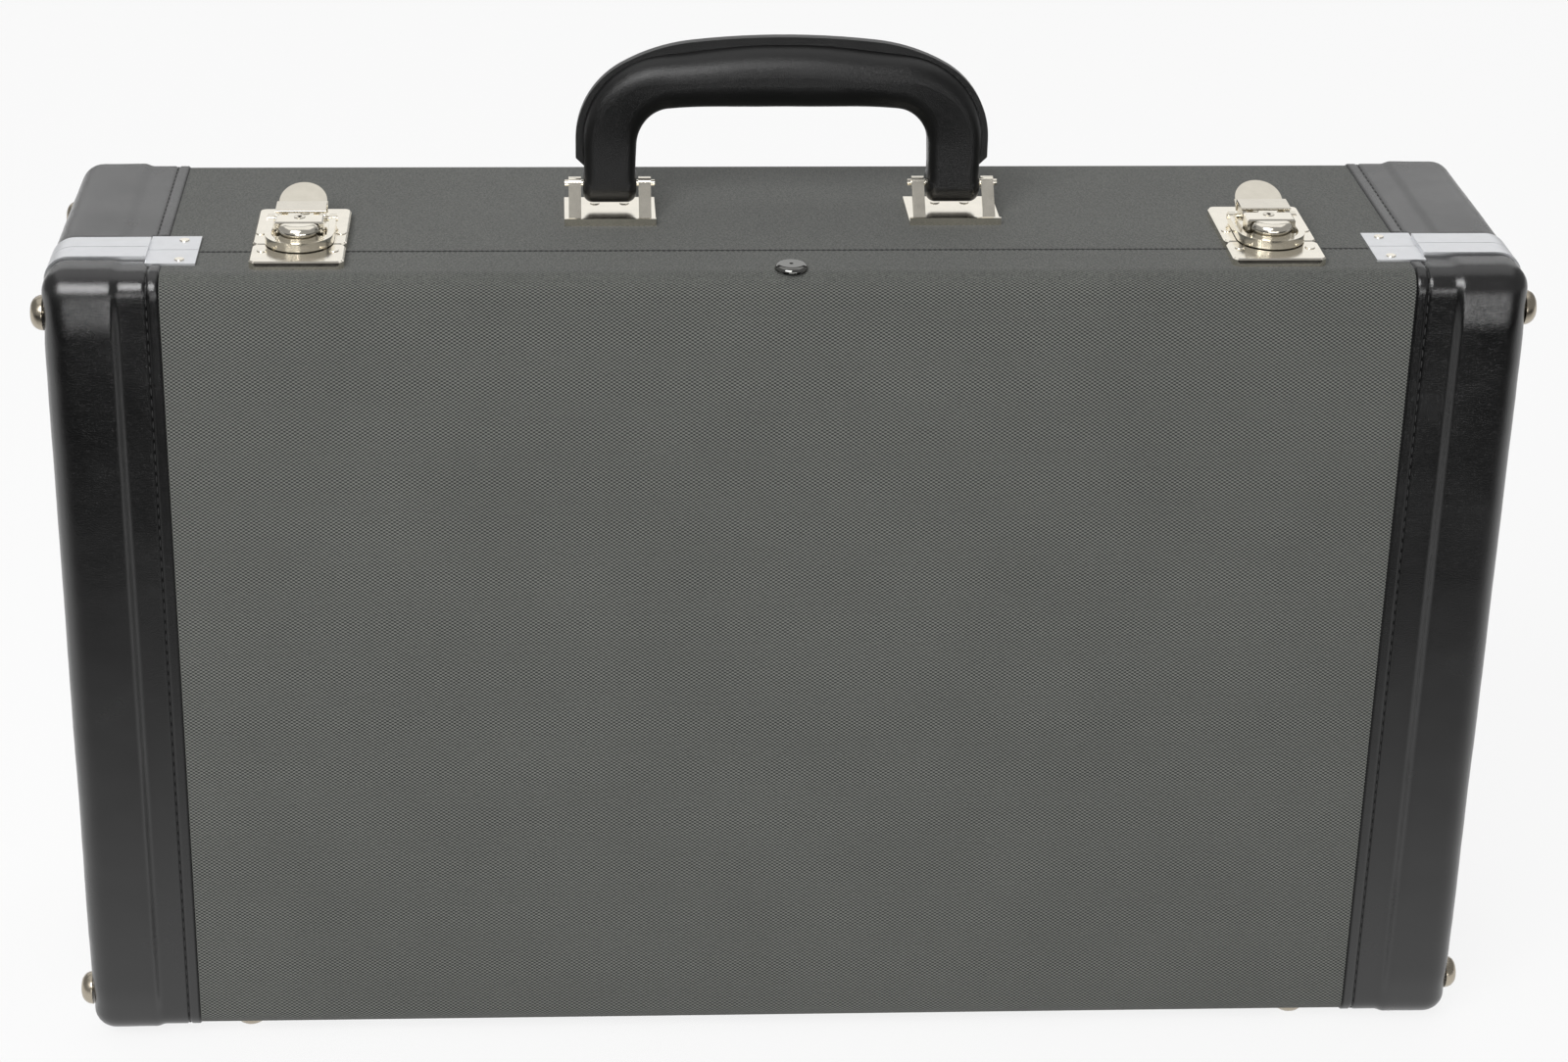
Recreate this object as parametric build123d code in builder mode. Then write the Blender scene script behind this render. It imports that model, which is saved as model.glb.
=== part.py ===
from build123d import *

import math
import os

# A hard case for two trumpets, standing on its long side with the handle up.
# X runs along the case, -Y is the front (the shallow lid), +Y the back (the deep base), Z is up.
# The origin is on the ground under the middle of the case. All lengths are in millimetres.

# Case
CASE_LENGTH = 580.0  # over the padded ends
CASE_DEPTH = 140.0  # fabric face to fabric face
CASE_HEIGHT = 339.0  # fabric face to fabric face
LID_DEPTH = 30.0
SEAM_GAP = 0.3
EDGE_RADIUS = 8.0
SKIN = 1.0  # fabric, and the leather where it lies flat
PAD = 2.0  # how far the padded leather stands above the fabric
WALL = 4.0  # moulded shell
LINING = 2.0

# Leather ends
CAP_LENGTH = 44.0  # from the flat end face to the leather's edge on the fabric
PADDED_LENGTH = 28.0  # from the padded end face to the end of the padding

# Metal closing strips round both ends
STRIP_THICKNESS = 1.0  # of the tabs
STRIP_RISE = 1.4  # round the end the strip stands this much higher, level with the padding
STRIP_HALF_WIDTH = 11.0
TAB_HALF_WIDTH = 15.5
TAB_LENGTH = 19.5
STRIP_REACH = 57.0  # from the flat end face to the tip of the tab
STRIP_WEB = 1.2  # the wall of the strip that covers the seam's edge
STRIP_TO_PAD = 0.5
TONGUE_THICKNESS = 1.2
TONGUE_HEIGHT = 2.0
TONGUE_DEPTH = 2.2  # under the fabric face
TONGUE_CLEARANCE = 0.6

# Domed bumpers, which are the feet and the corner studs
BUMPER_RADIUS = 7.0
BUMPER_HEIGHT = 5.0
BUMPER_ROUND = 4.6
BUMPER_NAIL_RADIUS = 1.5
BUMPER_NAIL_LENGTH = 4.5
FOOT_FROM_END = 64.0  # from the flat end face
FRONT_FOOT_INSET = 14.5  # from the front face
BACK_FOOT_INSET = 20.0  # from the back face
END_BUMPER_FRONT_INSET = 11.6
END_BUMPER_BACK_INSET = 18.0
END_BUMPER_TOP_INSET = 18.0
END_BUMPER_BOTTOM_INSET = 14.0

# Small rivets, all of one size
RIVET_RADIUS = 1.2
RIVET_LENGTH = 5.8
RIVET_HEAD_RADIUS = 2.0
RIVET_HEAD_HEIGHT = 0.4
RIVET_CLEARANCE = 0.05
STRIP_RIVET_INSET = 6.5  # from the tip of the tab
STRIP_RIVET_FROM_SEAM = 11.0

# Hinges under the case
HINGE_X = 150.0
HINGE_LENGTH = 50.0
HINGE_KNUCKLES = 5
HINGE_RADIUS = 2.1
HINGE_PIN_RADIUS = 1.0
HINGE_PIN_CLEARANCE = 0.05
HINGE_DROP = 1.6  # pin centre under the fabric
HINGE_LEAF_THICKNESS = 1.0
HINGE_LEAF_WIDTH = 16.0
HINGE_CLEARANCE = 0.4
KNUCKLE_GAP = 0.3
HINGE_RIVET_SPACING = 17.0

# Latches
LATCH_FROM_STRIP = 39.2  # from the tip of the strip's tab to the latch's middle
LATCH_WIDTH = 36.8
PLATE_HEIGHT = 3.2
PLATE_WALL = 1.2
PLATE_CORNER = 3.0
PLATE_CHAMFER = 0.6
BASE_PLATE_LENGTH = 42.0
LID_PLATE_LENGTH = 20.3
LATCH_TOP = 11.5  # face of the lock body above the fabric
LOCK_WIDTH = 19.0
LOCK_FRONT = 1.9  # behind the seam
LOCK_REAR = 11.3
LEVER_PIVOT = (15.1, 9.0)  # behind the seam, above the fabric
LEVER_PIN_RADIUS = 0.9
LATCH_PIN_CLEARANCE = 0.05
EAR_RADIUS = 1.7
EAR_OUTSIDE = 7.5
EAR_WIDTH = 2.5
CHEEK_OUTSIDE = 9.5
CHEEK_WIDTH = 1.6
CHEEK_RADIUS = 2.3
LEVER_WIDTH = 19.8
LEVER_SHEET = 1.0
BAND_FRONT = 14.0
BAND_REAR = 24.4
BAND_RISE = 0.8  # above the lock body
TAB_RADIUS = 9.5
TAB_CENTRE = 29.5
TAB_ROOT = (25.3, 8.0)
TAB_TIP = (40.5, 15.6)
BAIL_PIVOT = (21.9, 6.0)
BAIL_TRUNNION_RADIUS = 1.1
BAIL_EYE_RADIUS = 1.9
BAIL_INSIDE = 10.9
BAIL_WIRE = 2.6
BAIL_BOTTOM = 3.6
BAIL_TOP = 7.0
BAIL_CENTRE = 2.6  # middle of the round front, behind the seam
CATCH_GAP = 0.8
CATCH_STEP = 6.5
CATCH_NOSE_RADIUS = 8.4
CATCH_NOSE_ROUND = 3.0
GROOVE = 1.4
PLUG_RADIUS = 2.3
PLUG_CLEARANCE = 0.05
PLUG_BEHIND_SEAM = 8.6
PLUG_LENGTH = 5.5
PLUG_PROUD = 0.2
KEYHOLE_RADIUS = 0.9
KEYHOLE_SLOT = 0.8
KEYHOLE_LENGTH = 1.7
KEYHOLE_DEPTH = 3.0
LATCH_RIVETS = ((-15.8, 12.6), (15.8, 12.6), (0, 36.5))  # across, and behind the seam
CATCH_RIVETS = ((-14.0, -7.5), (14.0, -7.5))

# Handle
HANDLE_PIVOT_X = 69.5
HANDLE_PIVOT_Y = 8.0
HANDLE_PIVOT_HEIGHT = 11.8  # above the fabric
HANDLE_PIN_RADIUS = 1.3
HANDLE_PIN_CLEARANCE = 0.05
HANDLE_PIN_LENGTH = 36.4
LEG_WIDTH = 21.6
LEG_THICKNESS = 15.6
LEG_END_ROUND = 4.0
LEG_TOP = 30.0  # where the legs begin to bend, above the fabric
BEND_RADIUS = 25.0
BEND_ANGLE = 84.0
# How far round the grip, its depth, its thickness and its corner radius
GRIP_SECTIONS = (
    (0.0, LEG_WIDTH, LEG_THICKNESS, 4.5),
    (0.09, LEG_WIDTH, LEG_THICKNESS, 4.5),
    (0.2, 22.2, 19.0, 7.5),
    (0.3, 22.4, 22.6, 10.0),
    (0.4, 24.6, 23.6, 10.8),
    (0.5, 25.4, 23.6, 10.8),
)
FIN_THICKNESS = 4.0
FIN_HALF_LENGTH = 83.2
FIN_START = 23.0
FIN_CUT = 3.5
FIN_BEND_START = 30.5
FIN_BEND_RADIUS = 36.0
FIN_BEND_ANGLE = 60.0
FIN_SHOULDER_RADIUS = 73.0
FIN_SHOULDER_ANGLE = 23.5
BRACKET_WIDTH = 36.8
BRACKET_FRONT = 19.0  # in front of the pin
BRACKET_REAR = 13.0
BRACKET_SHEET = 1.2
BRACKET_LIP = 3.0
HOOK_INSIDE = 11.6
HOOK_WIDTH = 5.0
HOOK_SHEET = 1.2
HOOK_ROLL_RADIUS = 2.5
HOOK_ROOT = 14.3  # in front of the pin
HOOK_SHOULDER = (-1.3, 1.1)  # where the hook's sheet runs into its roll, from the pin
BRACKET_RIVET_X = 6.0
BRACKET_RIVET_Y = 5.5

# Large rivet in the middle of the lid's top, and the tongue it holds
CENTRE_RIVET_RADIUS = 6.5
CENTRE_RIVET_HEIGHT = 2.2
CENTRE_RIVET_HOLE = 0.8
CENTRE_RIVET_SHANK = 1.3
CENTRE_RIVET_INSET = 9.0  # from the front face
BLADE_WIDTH = 16.0
BLADE_SHEET = 1.2
BLADE_REACH = 9.0  # past the seam, into the base
BLADE_CLEARANCE = 0.5
BLADE_FRONT_GAP = 0.2
SPACER_LENGTH = 6.0

# Stays that stop the lid: a slotted arm at each end
STAY_SHORT = 12.0  # both its pivots to the hinge axis: this much less than half the depth
STAY_HALF_SPAN = 11.0  # both its pivots to the seam
STAY_SHEET = 1.5
STAY_WIDTH = 10.0
STAY_SIDE_GAP = 0.6
STUD_RADIUS = 2.0
STUD_CLEARANCE = 0.2
STAY_PIVOT_CLEARANCE = 0.05
STUD_HEAD_RADIUS = 4.0
STUD_HEAD = 1.2
STUD_HEAD_GAP = 0.2
STUD_EMBED = 3.0
LID_OPENING = 100.0  # degrees
STAY_END = 4.0

# Fittings inside the base
FITTING_FRONT = 6.0  # behind the seam
NECK_BLOCK_X = 147.0
NECK_END_GAP = 2.5  # to the lining
NECK_BOX_GAP = 10.0  # to the accessory box
NECK_BLOCK_WIDTH = 40.0
NECK_BLOCK_OUTSIDE = 76.0
NECK_SLOT = 56.0
NECK_SLOT_FLOOR = 35.0  # in front of the lining
TAIL_BLOCK_WIDTH = 28.0
TAIL_SIDE_GAP = 6.0  # to the mouthpiece block
TAIL_END_GAP = 12.5  # to the lining
TAIL_BOX_GAP = 6.0  # to the accessory box
TAIL_SLOT = 26.0
TAIL_SLOT_OFFSET = 24.0
TAIL_SLOT_FLOOR = 40.0
MOUTHPIECE_END_GAP = 8.0  # to the lining
MOUTHPIECE_BLOCK_WIDTH = 32.0
MOUTHPIECE_BLOCK_LENGTH = 112.0
MOUTHPIECE_SPACING = 54.0
MOUTHPIECE_BORE = 7.0
MOUTHPIECE_CUP = 14.2
MOUTHPIECE_CUP_DEPTH = 22.0
MOUTHPIECE_DEPTH = 78.0
REST_X = 50.0
REST_WIDTH = 84.0
REST_HALF = 40.0
REST_HEIGHT = 22.0
BLOCK_ROUND = 5.0

# Accessory boxes, one with a lid
BOX_SIDE_GAP = 4.0  # to the mouthpiece block
BOX_LENGTH = 134.0
BOX_WIDTH = 42.0
BOX_MIDDLE = 9.0  # below the middle of the case on the left, above it on the right
BOX_WALL = 3.0
BOX_HEIGHT = 80.0
BOX_LID_SHEET = 3.0
BOX_LID_GAP = 0.5
BOX_HINGE_RADIUS = 2.0
BOX_HINGE_GAP = 0.3
BOX_PIN_RADIUS = 0.8
BOX_PIN_CLEARANCE = 0.05
BOX_KNUCKLE = 18.0
BOX_KNUCKLE_X = 40.0
BOX_KNOB_RADIUS = 4.0
BOX_KNOB_HEIGHT = 5.0

# Lid pads that press on the trumpets' necks
PAD_LENGTH = 60.0
PAD_WIDTH = 26.0
PAD_HEIGHT = 12.0

# Worked out from the sizes above
BODY_BOTTOM = BUMPER_HEIGHT
BODY_TOP = BODY_BOTTOM + CASE_HEIGHT
MIDDLE_Z = (BODY_BOTTOM + BODY_TOP) / 2
FRONT_Y = -CASE_DEPTH / 2
BACK_Y = CASE_DEPTH / 2
SEAM_Y = FRONT_Y + LID_DEPTH
BASE_EDGE_Y = SEAM_Y + SEAM_GAP / 2
LID_EDGE_Y = SEAM_Y - SEAM_GAP / 2
FLAT_HALF = CASE_LENGTH / 2 - PAD
CAP_EDGE_X = FLAT_HALF - CAP_LENGTH
STRIP_TIP_X = FLAT_HALF - STRIP_REACH
LATCH_X = STRIP_TIP_X - LATCH_FROM_STRIP
FOOT_X = FLAT_HALF - FOOT_FROM_END
HINGE_AXIS_Z = BODY_BOTTOM - HINGE_DROP
CAVITY_X = FLAT_HALF - SKIN - WALL - LINING
CAVITY_BACK_Y = BACK_Y - SKIN - WALL - LINING
CAVITY_FRONT_Y = FRONT_Y + SKIN + WALL + LINING
CAVITY_TOP = BODY_TOP - SKIN - WALL - LINING
CAVITY_HALF_HEIGHT = CAVITY_TOP - MIDDLE_Z
STAY_RADIUS = BACK_Y - STAY_SHORT
STAY_PIVOT_Z = HINGE_AXIS_Z + math.sqrt(STAY_RADIUS**2 - STAY_HALF_SPAN**2)
MOUTHPIECE_BLOCK_X = CAVITY_X - MOUTHPIECE_END_GAP - MOUTHPIECE_BLOCK_WIDTH / 2
MOUTHPIECE_INNER_X = MOUTHPIECE_BLOCK_X - MOUTHPIECE_BLOCK_WIDTH / 2
BOX_X = MOUTHPIECE_INNER_X - BOX_SIDE_GAP - BOX_LENGTH / 2
TAIL_BLOCK_X = MOUTHPIECE_INNER_X - TAIL_SIDE_GAP - TAIL_BLOCK_WIDTH / 2
TRUMPET_AXIS = CAVITY_HALF_HEIGHT - NECK_END_GAP - NECK_BLOCK_OUTSIDE  # from the middle
NECK_BLOCK_INSIDE = TRUMPET_AXIS - (BOX_WIDTH / 2 - BOX_MIDDLE) - NECK_BOX_GAP
TAIL_START = BOX_MIDDLE + BOX_WIDTH / 2 + TAIL_BOX_GAP
TAIL_BLOCK_HALF = (CAVITY_HALF_HEIGHT - TAIL_END_GAP - TAIL_START) / 2
TAIL_BLOCK_OFFSET = TAIL_START + TAIL_BLOCK_HALF - TRUMPET_AXIS  # out from the trumpet's axis
SIDES = {"left": -1, "right": 1}

BASE_HALF = Plane((0, BASE_EDGE_Y, 0), z_dir=(0, 1, 0))
LID_HALF = Plane((0, LID_EDGE_Y, 0), z_dir=(0, -1, 0))

os.makedirs("parts", exist_ok=True)


def save(piece, name):
    """Label a finished piece and write it."""
    piece.part.label = name
    export_step(piece.part, f"parts/{name}.step")


# Forms that several pieces share


def case_form(grow, radius):
    """A rounded box that follows the outside of the case, grown by some amount."""
    with BuildPart(Plane.XY.offset(MIDDLE_Z)) as form:
        Box(2 * (FLAT_HALF + grow), CASE_DEPTH + 2 * grow, CASE_HEIGHT + 2 * grow)
        fillet(form.edges(), radius)
    return form.part


skin_form = case_form(0, EDGE_RADIUS)
core_form = case_form(-SKIN, EDGE_RADIUS - SKIN)
hollow_form = case_form(-SKIN - WALL, EDGE_RADIUS - SKIN - WALL)
cavity_form = case_form(-SKIN - WALL - LINING, EDGE_RADIUS - SKIN - WALL - LINING)
padded_form = case_form(PAD, EDGE_RADIUS + PAD)


def end_ring(side, outside, inside, reach_x, y_from, y_to):
    """A C round one end of the case, between two distances out from the fabric's face."""
    with BuildPart() as ring:
        with BuildSketch(Plane.XZ.offset(-y_to)):
            with Locations((0, MIDDLE_Z)):
                RectangleRounded(
                    2 * (FLAT_HALF + outside), CASE_HEIGHT + 2 * outside, EDGE_RADIUS + outside
                )
                RectangleRounded(
                    2 * (FLAT_HALF + inside),
                    CASE_HEIGHT + 2 * inside,
                    EDGE_RADIUS + inside,
                    mode=Mode.SUBTRACT,
                )
            with Locations((side * (reach_x + FLAT_HALF), MIDDLE_Z)):
                Rectangle(2 * FLAT_HALF, 2 * CASE_HEIGHT, mode=Mode.INTERSECT)
        extrude(amount=y_to - y_from)
    return ring.part


def web_ring(side, direction):
    """The room that a strip's web takes from the shell, the fabric and the leather."""
    if direction > 0:
        return end_ring(
            side, 0, -SKIN - WALL, STRIP_TIP_X, BASE_EDGE_Y, BASE_EDGE_Y + STRIP_WEB
        )
    return end_ring(
        side, 0, TONGUE_CLEARANCE - TONGUE_DEPTH, STRIP_TIP_X, LID_EDGE_Y - STRIP_WEB, LID_EDGE_Y
    )


def side_plane(x, behind_seam=0.0, height=0.0):
    """A plane across the case, measured back from the seam and up from the fabric on top."""
    return Plane((x, SEAM_Y + behind_seam, BODY_TOP + height), x_dir=(0, 1, 0), z_dir=(1, 0, 0))


# Rivets and bumpers, and where they go

with BuildPart() as rivet_form:
    Cylinder(RIVET_RADIUS, RIVET_LENGTH, align=(Align.CENTER, Align.CENTER, Align.MAX))
    Cylinder(
        RIVET_HEAD_RADIUS, RIVET_HEAD_HEIGHT, align=(Align.CENTER, Align.CENTER, Align.MIN)
    )
    fillet(rivet_form.edges().sort_by(Axis.Z)[-1], RIVET_HEAD_HEIGHT * 0.9)

with BuildPart() as bumper_form:
    Cylinder(
        BUMPER_NAIL_RADIUS, BUMPER_NAIL_LENGTH, align=(Align.CENTER, Align.CENTER, Align.MAX)
    )
    Cylinder(BUMPER_RADIUS, BUMPER_HEIGHT, align=(Align.CENTER, Align.CENTER, Align.MIN))
    fillet(bumper_form.edges().sort_by(Axis.Z)[-1], BUMPER_ROUND)


def up(x, y, z):
    return Plane((x, y, z), z_dir=(0, 0, 1)).location


def down(x, y, z):
    return Plane((x, y, z), z_dir=(0, 0, -1)).location


def latch_rivet_places(spots):
    """The rivets through both latches, from their spots on one."""
    return [
        up(side * LATCH_X + across_x, SEAM_Y + behind_seam, BODY_TOP + PLATE_HEIGHT)
        for side in SIDES.values()
        for across_x, behind_seam in spots
    ]


def strip_rivet_places(behind_seam):
    """A rivet through each tab of the closing strips, on top and underneath."""
    x = STRIP_TIP_X + STRIP_RIVET_INSET
    y = SEAM_Y + behind_seam
    top = [up(side * x, y, BODY_TOP + STRIP_THICKNESS) for side in SIDES.values()]
    bottom = [down(side * x, y, BODY_BOTTOM - STRIP_THICKNESS) for side in SIDES.values()]
    return top + bottom


def hinge_rivet_places(behind_seam):
    """Three rivets through each hinge leaf."""
    return [
        down(side * HINGE_X + step * HINGE_RIVET_SPACING, SEAM_Y + behind_seam,
             BODY_BOTTOM - HINGE_LEAF_THICKNESS)
        for side in SIDES.values()
        for step in (-1, 0, 1)
    ]


hinge_rivet_y = (HINGE_RADIUS + HINGE_CLEARANCE + HINGE_LEAF_WIDTH) / 2
bracket_rivet_places = [
    up(side * HANDLE_PIVOT_X + dx, HANDLE_PIVOT_Y + BRACKET_RIVET_Y, BODY_TOP + BRACKET_SHEET)
    for side in SIDES.values()
    for dx in (-BRACKET_RIVET_X, BRACKET_RIVET_X)
]
base_rivet_places = (
    latch_rivet_places(LATCH_RIVETS)
    + strip_rivet_places(STRIP_RIVET_FROM_SEAM)
    + hinge_rivet_places(hinge_rivet_y)
    + bracket_rivet_places
)
lid_rivet_places = (
    latch_rivet_places(CATCH_RIVETS)
    + strip_rivet_places(-STRIP_RIVET_FROM_SEAM)
    + hinge_rivet_places(-hinge_rivet_y)
)


def foot_places(y):
    return [down(side * FOOT_X, y, BODY_BOTTOM) for side in SIDES.values()]


def end_bumper_places(y):
    """Two bumpers on each end wall, near the top and near the bottom."""
    heights = (BODY_BOTTOM + END_BUMPER_BOTTOM_INSET, BODY_TOP - END_BUMPER_TOP_INSET)
    return [
        Plane((side * CASE_LENGTH / 2, y, z), z_dir=(side, 0, 0)).location
        for side in SIDES.values()
        for z in heights
    ]


base_bumper_places = foot_places(BACK_Y - BACK_FOOT_INSET) + end_bumper_places(
    BACK_Y - END_BUMPER_BACK_INSET
)
lid_bumper_places = foot_places(FRONT_Y + FRONT_FOOT_INSET) + end_bumper_places(
    FRONT_Y + END_BUMPER_FRONT_INSET
)


def rivet_holes(rivet_places, bumper_places):
    """Every hole that rivets and bumper nails need, as one tool."""
    with BuildPart() as holes:
        with Locations(*rivet_places):
            Cylinder(RIVET_RADIUS + RIVET_CLEARANCE, 2 * (RIVET_LENGTH + RIVET_CLEARANCE))
        with Locations(*bumper_places):
            Cylinder(
                BUMPER_NAIL_RADIUS + RIVET_CLEARANCE, 2 * (BUMPER_NAIL_LENGTH + RIVET_CLEARANCE)
            )
    return holes.part


base_holes = rivet_holes(base_rivet_places, base_bumper_places)
lid_holes = rivet_holes(lid_rivet_places, lid_bumper_places)

for name, places in (("base_rivets", base_rivet_places), ("lid_rivets", lid_rivet_places)):
    with BuildPart() as rivets:
        with Locations(*places):
            add(rivet_form.part)
    save(rivets, name)

for name, places in (("base_bumpers", base_bumper_places), ("lid_bumpers", lid_bumper_places)):
    with BuildPart() as bumpers:
        with Locations(*places):
            add(bumper_form.part)
    save(bumpers, name)


# Hinge room and the centre rivet's hole, which several pieces are cut by

with BuildPart() as hinge_room:
    for side in SIDES.values():
        with Locations(
            Plane((side * HINGE_X, SEAM_Y, HINGE_AXIS_Z), z_dir=(1, 0, 0)).location
        ):
            Cylinder(HINGE_RADIUS + HINGE_CLEARANCE, HINGE_LENGTH + 2 * KNUCKLE_GAP)

centre_rivet_y = FRONT_Y + CENTRE_RIVET_INSET
with BuildPart() as centre_hole:
    with Locations((0, centre_rivet_y, BODY_TOP)):
        Cylinder(CENTRE_RIVET_SHANK + RIVET_CLEARANCE, 4 * (WALL + LINING))


# Shells, fabric and lining of the base and of the lid


def half_of_case(name, half, direction, holes):
    """The moulded shell, the fabric over its middle and the plush inside it."""
    with BuildPart() as shell:
        add(core_form)
        add(hollow_form, mode=Mode.SUBTRACT)
        split(bisect_by=half)
        for side in SIDES.values():
            add(web_ring(side, direction), mode=Mode.SUBTRACT)
            if direction < 0:
                add(tongue_groove(side), mode=Mode.SUBTRACT)
        add(holes, mode=Mode.SUBTRACT)
        add(centre_hole.part, mode=Mode.SUBTRACT)
        add(stud_holes, mode=Mode.SUBTRACT)
    save(shell, f"{name}_shell")

    with BuildPart() as fabric:
        add(skin_form)
        add(core_form, mode=Mode.SUBTRACT)
        split(bisect_by=half)
        with Locations((0, 0, MIDDLE_Z)):
            Box(2 * CAP_EDGE_X, 2 * CASE_DEPTH, 2 * CASE_HEIGHT, mode=Mode.INTERSECT)
        for side in SIDES.values():
            add(web_ring(side, direction), mode=Mode.SUBTRACT)
        add(holes, mode=Mode.SUBTRACT)
        add(hinge_room.part, mode=Mode.SUBTRACT)
        add(centre_hole.part, mode=Mode.SUBTRACT)
    save(fabric, f"{name}_fabric")

    with BuildPart() as lining:
        add(hollow_form)
        add(cavity_form, mode=Mode.SUBTRACT)
        split(bisect_by=half.offset(STRIP_WEB))
        add(centre_hole.part, mode=Mode.SUBTRACT)
        add(stud_holes, mode=Mode.SUBTRACT)
    save(lining, f"{name}_lining")


def tongue_groove(side):
    """The slot in the lid's seam that takes the base's tongue, with its clearance."""
    return end_ring(
        side,
        TONGUE_CLEARANCE - TONGUE_DEPTH,
        -TONGUE_CLEARANCE - TONGUE_DEPTH - TONGUE_THICKNESS,
        STRIP_TIP_X,
        LID_EDGE_Y - TONGUE_HEIGHT - 2 * TONGUE_CLEARANCE,
        LID_EDGE_Y,
    )


def stud_place(side, behind_seam):
    """On the end lining, facing into the case."""
    return Plane(
        (side * CAVITY_X, SEAM_Y + behind_seam, STAY_PIVOT_Z), z_dir=(-side, 0, 0)
    ).location


stay_places = {
    name: (stud_place(side, -STAY_HALF_SPAN), stud_place(side, STAY_HALF_SPAN))
    for name, side in SIDES.items()
}
with BuildPart() as stud_hole_form:
    for lid_place, base_place in stay_places.values():
        with Locations(lid_place, base_place):
            Cylinder(STUD_RADIUS + RIVET_CLEARANCE, 2 * (STUD_EMBED + LINING))
stud_holes = stud_hole_form.part

half_of_case("base", BASE_HALF, 1, base_holes)
half_of_case("lid", LID_HALF, -1, lid_holes)


# Padded leather ends


def leather_cap(name, side, half, direction, holes):
    """Thick soft leather over the end, thinning to a flat hem that is stitched to the fabric."""
    pad_middle = SEAM_Y + direction * (STRIP_HALF_WIDTH + STRIP_TO_PAD + CASE_DEPTH)
    with BuildPart() as padding:
        add(padded_form)
        with Locations((side * (CASE_LENGTH - PADDED_LENGTH), pad_middle, MIDDLE_Z)):
            Box(CASE_LENGTH, 2 * CASE_DEPTH, 2 * CASE_HEIGHT, mode=Mode.INTERSECT)
    with BuildPart() as cap:
        add(skin_form)
        with Locations((side * (CAP_EDGE_X + CASE_LENGTH / 2), 0, MIDDLE_Z)):
            Box(CASE_LENGTH, 2 * CASE_DEPTH, 2 * CASE_HEIGHT, mode=Mode.INTERSECT)
        split(bisect_by=half)
        add(padding.part)
        add(core_form, mode=Mode.SUBTRACT)
        add(web_ring(side, direction), mode=Mode.SUBTRACT)
        add(holes, mode=Mode.SUBTRACT)
    save(cap, f"{name}_cap_{side_name(side)}")


def side_name(side):
    return "left" if side < 0 else "right"


for side in SIDES.values():
    leather_cap("base", side, BASE_HALF, 1, base_holes)
    leather_cap("lid", side, LID_HALF, -1, lid_holes)


# Closing strips: the base's half carries a tongue, the lid's half the groove for it


def strip_flange(side, y_edge, direction, half_width, thickness, reach_x):
    """The part of a strip that lies on the outside of the case."""
    y_far = SEAM_Y + direction * half_width
    return end_ring(side, thickness, 0, reach_x, min(y_edge, y_far), max(y_edge, y_far))


def strip_tabs(side, y_edge, direction, tab_end_x):
    """The strip's wide thin ends, over the top of the case and under it."""
    with BuildPart() as tabs:
        add(strip_flange(side, y_edge, direction, TAB_HALF_WIDTH, STRIP_THICKNESS, STRIP_TIP_X))
        with Locations((side * tab_end_x - side * CASE_LENGTH / 2, 0, MIDDLE_Z)):
            Box(CASE_LENGTH, 2 * CASE_DEPTH, 2 * CASE_HEIGHT, mode=Mode.INTERSECT)
    return tabs.part


def strip_band(side, y_edge, direction, tab_end_x):
    """The raised strip round the end, thin under the case so that the lid can turn."""
    raised = STRIP_THICKNESS + STRIP_RISE
    with BuildPart() as band:
        add(strip_flange(side, y_edge, direction, STRIP_HALF_WIDTH, raised, tab_end_x))
        with Locations((0, 0, BODY_BOTTOM - STRIP_THICKNESS)):
            Box(
                2 * CASE_LENGTH,
                2 * CASE_DEPTH,
                2 * CASE_HEIGHT,
                align=(Align.CENTER, Align.CENTER, Align.MIN),
                mode=Mode.INTERSECT,
            )
    return band.part


def closing_strip(name, side, y_edge, direction, holes):
    tab_end_x = STRIP_TIP_X + TAB_LENGTH
    with BuildPart() as strip:
        add(strip_band(side, y_edge, direction, tab_end_x))
        add(strip_tabs(side, y_edge, direction, tab_end_x))
        add(web_ring(side, direction))
        if direction > 0:
            add(
                end_ring(
                    side,
                    -TONGUE_DEPTH,
                    -TONGUE_DEPTH - TONGUE_THICKNESS,
                    STRIP_TIP_X + TONGUE_CLEARANCE,
                    LID_EDGE_Y - TONGUE_HEIGHT,
                    y_edge,
                )
            )
        else:
            add(tongue_groove(side), mode=Mode.SUBTRACT)
        add(holes, mode=Mode.SUBTRACT)
    save(strip, name)


for side_label, side in SIDES.items():
    closing_strip(f"base_strip_{side_label}", side, BASE_EDGE_Y, 1, base_holes)
    closing_strip(f"lid_strip_{side_label}", side, LID_EDGE_Y, -1, lid_holes)


# Hinges: two leaves on one pin, under the seam

knuckle_pitch = HINGE_LENGTH / HINGE_KNUCKLES
knuckle_xs = [(i - (HINGE_KNUCKLES - 1) / 2) * knuckle_pitch for i in range(HINGE_KNUCKLES)]
leaf_top = HINGE_DROP
leaf_bottom = HINGE_DROP - HINGE_LEAF_THICKNESS
leaf_start = HINGE_RADIUS + HINGE_CLEARANCE


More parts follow.
